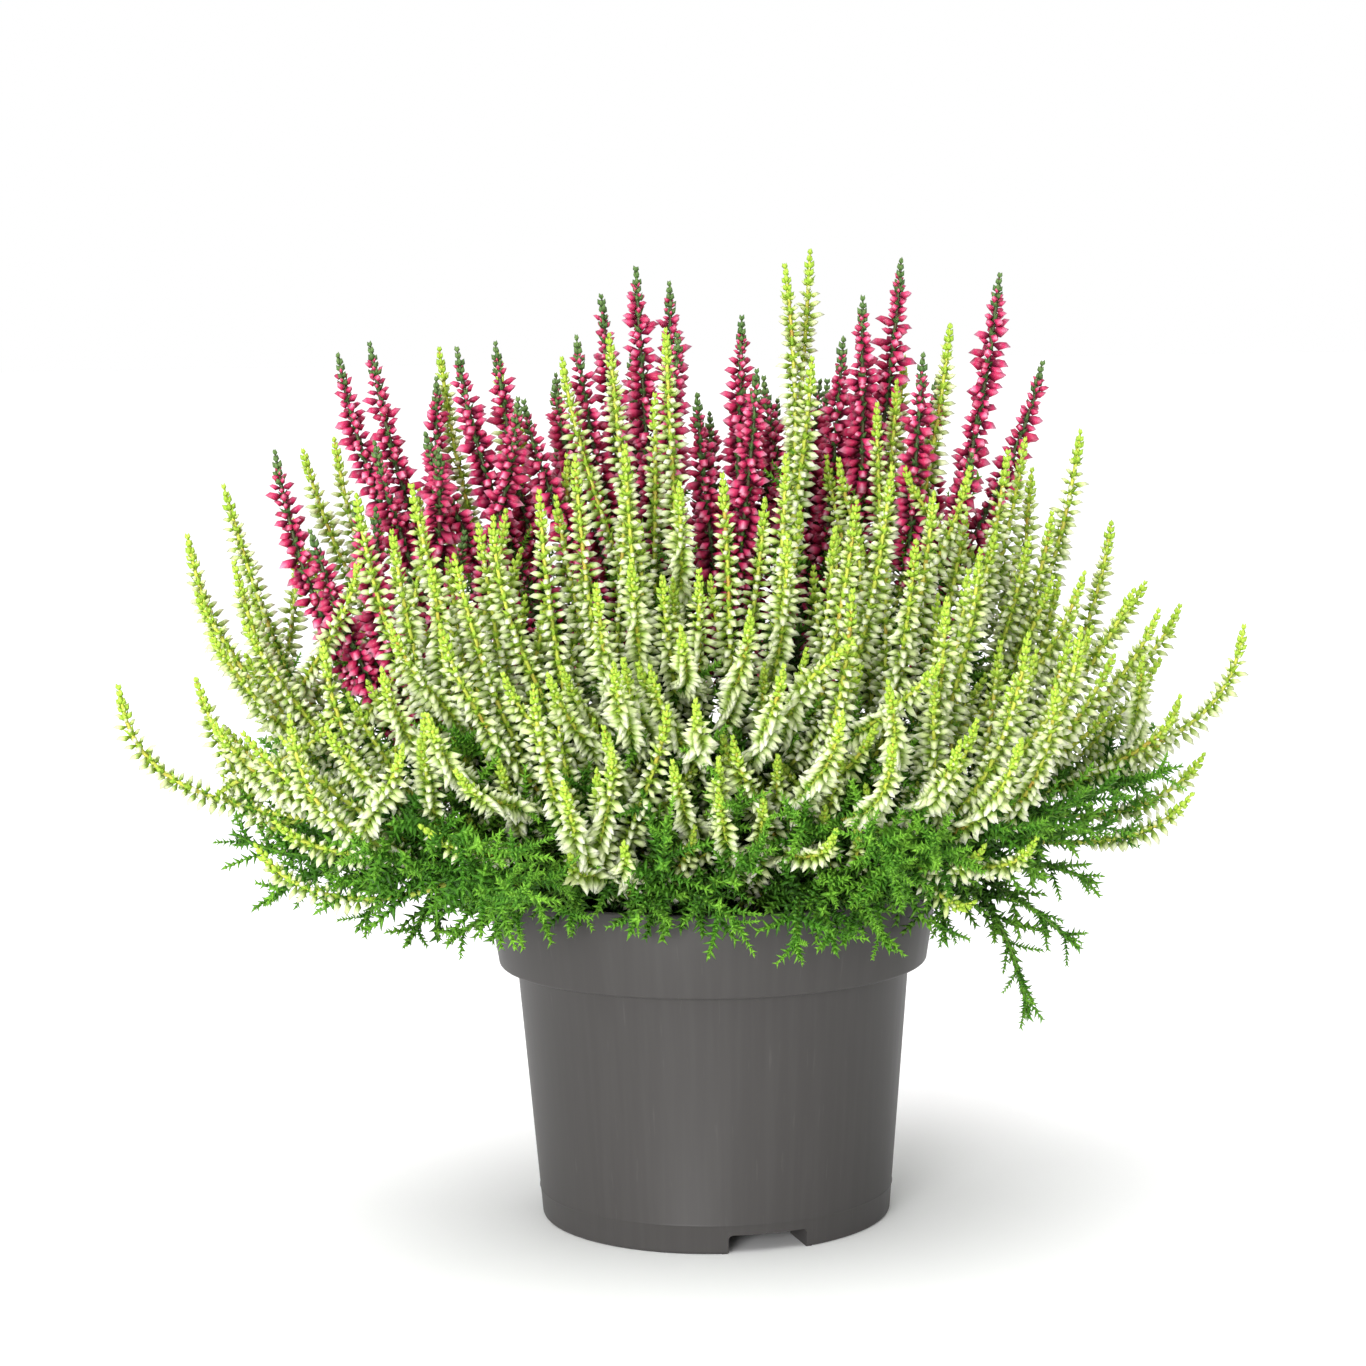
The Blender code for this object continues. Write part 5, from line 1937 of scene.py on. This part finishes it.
@dataclass
class NurseryPot:
    """The moulded pot: rim band, tapered wall, raised floor with drain holes, notched foot with ribs."""

    sizes: PotSizes
    sides: int = 160
    line_height: float = 7.6
    line_half: float = 0.5
    line_depth: float = 0.18
    under_round: float = 0.5
    sharp_angle: float = 32.0
    merge_within: float = 0.05
    drain_depth: float = 8.0
    cutters: list[Object] = field(default_factory=list)

    def arc(self, centre: tuple[float, float], radius: float, start: float, end: float, count: int) -> list:
        """Points of a round in the profile, from angle start to angle end in degrees."""
        angles = np.radians(np.linspace(start, end, count))
        return [(centre[0] + radius * math.cos(a), centre[1] + radius * math.sin(a)) for a in angles]

    def profile(self) -> list[tuple[float, float]]:
        """The wall's section, from the middle of the floor over the rim and down to the foot."""
        s = self.sizes
        lip = s.wall / 2
        step = s.band_bottom + s.wall
        points = [(0.0, s.floor_top), (s.outer(s.floor_top) - s.wall, s.floor_top)]
        points += [(s.outer(s.band_bottom) - s.wall, step), (s.band(step) - s.wall, step)]
        points.append((s.rim_radius - s.wall, s.rim_height - lip))
        points += self.arc((s.rim_radius - lip, s.rim_height - lip), lip, 160, 0, 9)
        edge = s.band_bottom_radius - s.band_round
        points += self.arc((edge, s.band_bottom + s.band_round), s.band_round, 0, -90, 7)
        inside = self.under_round
        points += self.arc((s.outer(s.band_bottom) + inside, s.band_bottom - inside), inside, 90, 180, 5)
        line, half = self.line_height, self.line_half
        points += [(s.outer(line + half), line + half), (s.outer(line) + self.line_depth, line)]
        points.append((s.outer(line - half), line - half))
        points += self.arc((s.outer(s.foot_round) - s.foot_round, s.foot_round), s.foot_round, 0, -90, 7)
        inner = s.foot_radius - s.foot_width
        points += [(inner, 0.0), (inner + s.foot_draft, s.floor_underside), (0.0, s.floor_underside)]
        return points

    def turned(self) -> Object:
        """The wall and floor, turned about the pot's axis."""
        mesh = bpy.data.meshes.new("pot_shell")
        points = [(radius * MM, 0.0, height * MM) for radius, height in self.profile()]
        mesh.from_pydata(points, [(i, i + 1) for i in range(len(points) - 1)], [])
        thing = make_object("pot_shell", mesh)
        screw = thing.modifiers.new("turn", "SCREW")
        screw.steps = self.sides
        screw.render_steps = self.sides
        screw.use_merge_vertices = True
        screw.merge_threshold = self.merge_within * MM
        bake_modifiers(thing)
        return thing

    def block(self, size: Sequence[float], centre: Sequence[float], turn: float, soften: float) -> None:
        """Add a block to the cutters, with its long edges rounded on top where asked.

        Args:
            size: Its three sides.
            centre: Its centre before it is turned.
            turn: Its angle about the pot's axis.
            soften: The radius of its upper edges that run outwards.
        """
        shape = bmesh.new()
        bmesh.ops.create_cube(shape, size=1.0)
        for vertex in shape.verts:
            for axis in range(3):
                vertex.co[axis] = (vertex.co[axis] * size[axis] + centre[axis]) * MM
        if soften:
            edges = []
            for edge in shape.edges:
                one, other = edge.verts[0].co, edge.verts[1].co
                if min(one.z, other.z) > 0.0 and abs(one.y - other.y) < 0.1 * MM:
                    edges.append(edge)
            bmesh.ops.bevel(shape, geom=edges, offset=soften * MM, segments=6, profile=0.5, affect="EDGES")
        bmesh.ops.rotate(shape, verts=shape.verts, matrix=Matrix.Rotation(turn, 3, "Z"))
        self.cutters.append(make_object("block", plain_mesh("block", shape)))

    def drain(self, angle: float) -> None:
        """Add a drain hole to the cutters."""
        s = self.sizes
        shape = bmesh.new()
        radius, depth = s.drain_radius * MM, self.drain_depth * MM
        bmesh.ops.create_cone(shape, cap_ends=True, segments=32, radius1=radius, radius2=radius, depth=depth)
        place = (s.drain_circle * math.cos(angle), s.drain_circle * math.sin(angle), s.floor_top)
        bmesh.ops.translate(shape, verts=shape.verts, vec=[value * MM for value in place])
        self.cutters.append(make_object("drain", plain_mesh("drain", shape)))

    def combine(self, thing: Object, operation: str) -> None:
        """Join the cutters to an object or cut it with them, and remove them."""
        group = bpy.data.collections.new("cutters")
        for cutter in self.cutters:
            group.objects.link(cutter)
        modifier = thing.modifiers.new("cut", "BOOLEAN")
        modifier.operation = operation
        modifier.operand_type = "COLLECTION"
        modifier.collection = group
        bake_modifiers(thing)
        for cutter in self.cutters:
            bpy.data.objects.remove(cutter)
        self.cutters.clear()
        bpy.data.collections.remove(group)

    def build(self) -> None:
        """Turn the wall, add the ribs, cut the notches and drains and dress the pot."""
        s = self.sizes
        pot = self.turned()
        first = math.radians(s.notch_angle - 90.0)
        turns = [first + 2 * math.pi * index / s.notch_count for index in range(s.notch_count)]
        for turn in turns:
            for side in (-1, 1):
                aside = side * (s.notch_width + s.wall) / 2
                centre = (s.rib_end - s.rib_length / 2, aside, s.rib_height / 2)
                self.block((s.rib_length, s.wall, s.rib_height), centre, turn, 0.0)
        self.combine(pot, "UNION")
        for turn in turns:
            size = (3 * s.foot_width, s.notch_width, 2 * s.notch_height)
            self.block(size, (s.foot_radius, 0.0, 0.0), turn, s.notch_corner)
        for index in range(s.drain_count):
            self.drain(2 * math.pi * (index + 0.5) / s.drain_count)
        self.combine(pot, "DIFFERENCE")
        pot.data.shade_smooth()
        pot.data.set_sharp_from_angle(angle=math.radians(self.sharp_angle))
        pot.data.materials.clear()
        pot.data.materials.append(PlasticFinish().build())
        finish_piece(pot, ["pot"])


@dataclass
class PottingSoil:
    """The soil: a rough top between the stems, with crumbs strewn over it."""

    sizes: PotSizes
    rings: int = 18
    spokes: int = 72
    relief: float = 1.1
    below_top: float = 1.2
    edge_drop: float = 1.0
    edge_width: float = 0.8
    wave_count: int = 12
    wave_rate: tuple[float, float] = (0.05, 0.5)
    wave_start: tuple[float, float] = (0.0, 6.0)
    crumbs_a_square_metre: float = 24000.0

    def build(self, shapes: Shapes) -> None:
        """Shape the soil as one closed body and strew the crumbs.

        Args:
            shapes: Where the crumbs come from.
        """
        s = self.sizes
        shelf = s.band_bottom + s.wall + s.gap
        rim = s.band(s.soil_top) - s.wall - s.gap
        side = [(rim, s.soil_top - self.edge_drop), (s.band(shelf) - s.wall - s.gap, shelf)]
        side.append((s.outer(s.band_bottom) - s.wall - s.gap, shelf))
        side.append((s.outer(s.floor_top) - s.wall - s.gap, s.floor_top + s.gap))
        draw = random.Random(SEED)
        ranges = (self.wave_rate, self.wave_rate, self.wave_start)
        waves = [[draw.uniform(*limits) for limits in ranges] for _ in range(self.wave_count)]
        shape = bmesh.new()

        def height(x: float, y: float) -> float:
            """The soil's height at a point, a little under its nominal top."""
            total = sum(math.sin(a * x + b * y + c) for a, b, c in waves)
            return s.soil_top - self.below_top + self.relief * total / math.sqrt(len(waves))

        rings = [((rim - self.edge_width) * ring / self.rings, None) for ring in range(1, self.rings + 1)]
        rows = []
        for radius, level in rings + side:
            row = []
            for spoke in range(self.spokes):
                angle = 2 * math.pi * spoke / self.spokes
                x, y = radius * math.cos(angle), radius * math.sin(angle)
                z = height(x, y) if level is None else level
                row.append(shape.verts.new((x * MM, y * MM, z * MM)))
            rows.append(row)
        middle = shape.verts.new((0.0, 0.0, height(0.0, 0.0) * MM))
        under = shape.verts.new((0.0, 0.0, (s.floor_top + s.gap) * MM))
        for spoke in range(self.spokes):
            after = (spoke + 1) % self.spokes
            shape.faces.new((middle, rows[0][spoke], rows[0][after]))
            shape.faces.new((under, rows[-1][after], rows[-1][spoke]))
            for low, high in zip(rows, rows[1:]):
                shape.faces.new((low[spoke], high[spoke], high[after], low[after]))
        values = {
            "Density": self.crumbs_a_square_metre,
            "Seed": SEED,
            "Repeats": shapes.crumbs(),
            "Finish": PeatFinish().build(),
        }
        piece = ScatterTree().run("potting_soil", plain_mesh("soil_top", shape), values)
        finish_piece(piece, ["soil"])


@dataclass(frozen=True)
class Studio:
    """A white studio and a camera that stands where the photograph's did."""

    focal_px: float = 3240.14
    image_px: float = 1366.0
    sensor: float = 36.0
    place: tuple[float, float, float] = (-10.244, -848.889, 231.511)
    pitch: float = 0.106
    yaw: float = 0.004
    roll: float = -0.015
    floor_size: float = 60.0
    surround: tuple[float, float] = (0.05, 1.1)
    lit_point: tuple[float, float, float] = (0.0, 0.0, 0.13)

    def camera(self) -> None:
        """Make the camera and turn it by its pitch, yaw and roll."""
        flat = np.array((math.sin(self.yaw), math.cos(self.yaw), 0.0))
        ahead = flat * math.cos(self.pitch) - np.array((0.0, 0.0, math.sin(self.pitch)))
        level = np.array((math.cos(self.yaw), -math.sin(self.yaw), 0.0))
        above = np.cross(level, ahead)
        right = level * math.cos(self.roll) + above * math.sin(self.roll)
        up = above * math.cos(self.roll) - level * math.sin(self.roll)
        data = bpy.data.cameras.new("camera")
        data.sensor_fit = "HORIZONTAL"
        data.sensor_width = self.sensor
        data.lens = self.focal_px * self.sensor / self.image_px
        thing = make_object("camera", data)
        columns = [right, up, -ahead, np.array(self.place) * MM]
        rows = [[float(column[row]) for column in columns] for row in range(3)]
        thing.matrix_world = Matrix((*rows, (0.0, 0.0, 0.0, 1.0)))
        bpy.context.scene.camera = thing

    def floor(self) -> None:
        """A plain white floor that runs out of sight."""
        shape = bmesh.new()
        bmesh.ops.create_grid(shape, x_segments=1, y_segments=1, size=self.floor_size / 2)
        mesh = plain_mesh("floor", shape)
        mesh.materials.append(PaperFinish().build())
        make_object("floor", mesh)

    def light(self, name: str, kind: str, place: Sequence[float], width: float, energy: float) -> None:
        """A soft light that faces the plant. A sun is even over the whole floor.

        Args:
            name: The light's name.
            kind: SUN or AREA.
            place: Where it stands, in metres; for a sun it gives the direction only.
            width: The side of an area in metres, or how wide a sun looks in radians.
            energy: Its strength.
        """
        data = bpy.data.lights.new(name, kind)
        setattr(data, "angle" if kind == "SUN" else "size", width)
        data.energy = energy
        thing = make_object(name, data)
        thing.location = place
        thing.rotation_mode = "QUATERNION"
        thing.rotation_quaternion = (Vector(place) - Vector(self.lit_point)).to_track_quat("Z", "Y")

    def build(self) -> None:
        """Make the camera, the floor, the lights and a white surround."""
        self.camera()
        self.floor()
        self.light("key", "SUN", (-0.3, -0.4, 1.33), math.radians(60.0), 1.6)
        self.light("softbox", "AREA", (-0.5, -1.6, 0.3), 0.6, 26.0)
        self.light("rim", "AREA", (0.2, 1.2, 1.2), 1.4, 5.0)
        world = bpy.data.worlds.new("white_surround")
        world.use_nodes = True
        sky = world.node_tree.nodes["Background"]
        sky.inputs["Color"].default_value = (1.0, 1.0, 1.0, 1.0)
        tree = world.node_tree
        seen = add_node(tree, "ShaderNodeLightPath").outputs["Is Camera Ray"]
        way = add_node(tree, "ShaderNodeTexCoord").outputs["Generated"]
        height = add_node(tree, "ShaderNodeSeparateXYZ", None, {"Vector": way}).outputs["Z"]
        level, zenith = self.surround
        glow = add_node(tree, "ShaderNodeMapRange", None, {"Value": height, 3: level, 4: zenith})
        strength = add_node(tree, MATH, {"operation": "MAXIMUM"}, {0: seen, 1: glow})
        tree.links.new(strength.outputs[0], sky.inputs["Strength"])
        bpy.context.scene.world = world
        bpy.context.scene.view_settings.view_transform = "Standard"


def main() -> None:
    """Build the pot, the soil, the plants and the studio, and note the sizes."""
    logging.basicConfig(level=logging.INFO, format="%(message)s")
    clear_scene()
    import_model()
    pot = PotSizes()
    growth = Growth(GrowthSizes(), pot)
    growth.grow()
    for sizes in INFILLS:
        growth.infill(sizes)
    NurseryPot(pot).build()
    heather = Heather(growth, DressSizes())
    PottingSoil(pot).build(heather.shapes)
    heather.build()
    Studio().build()


if __name__ == "__main__":
    main()
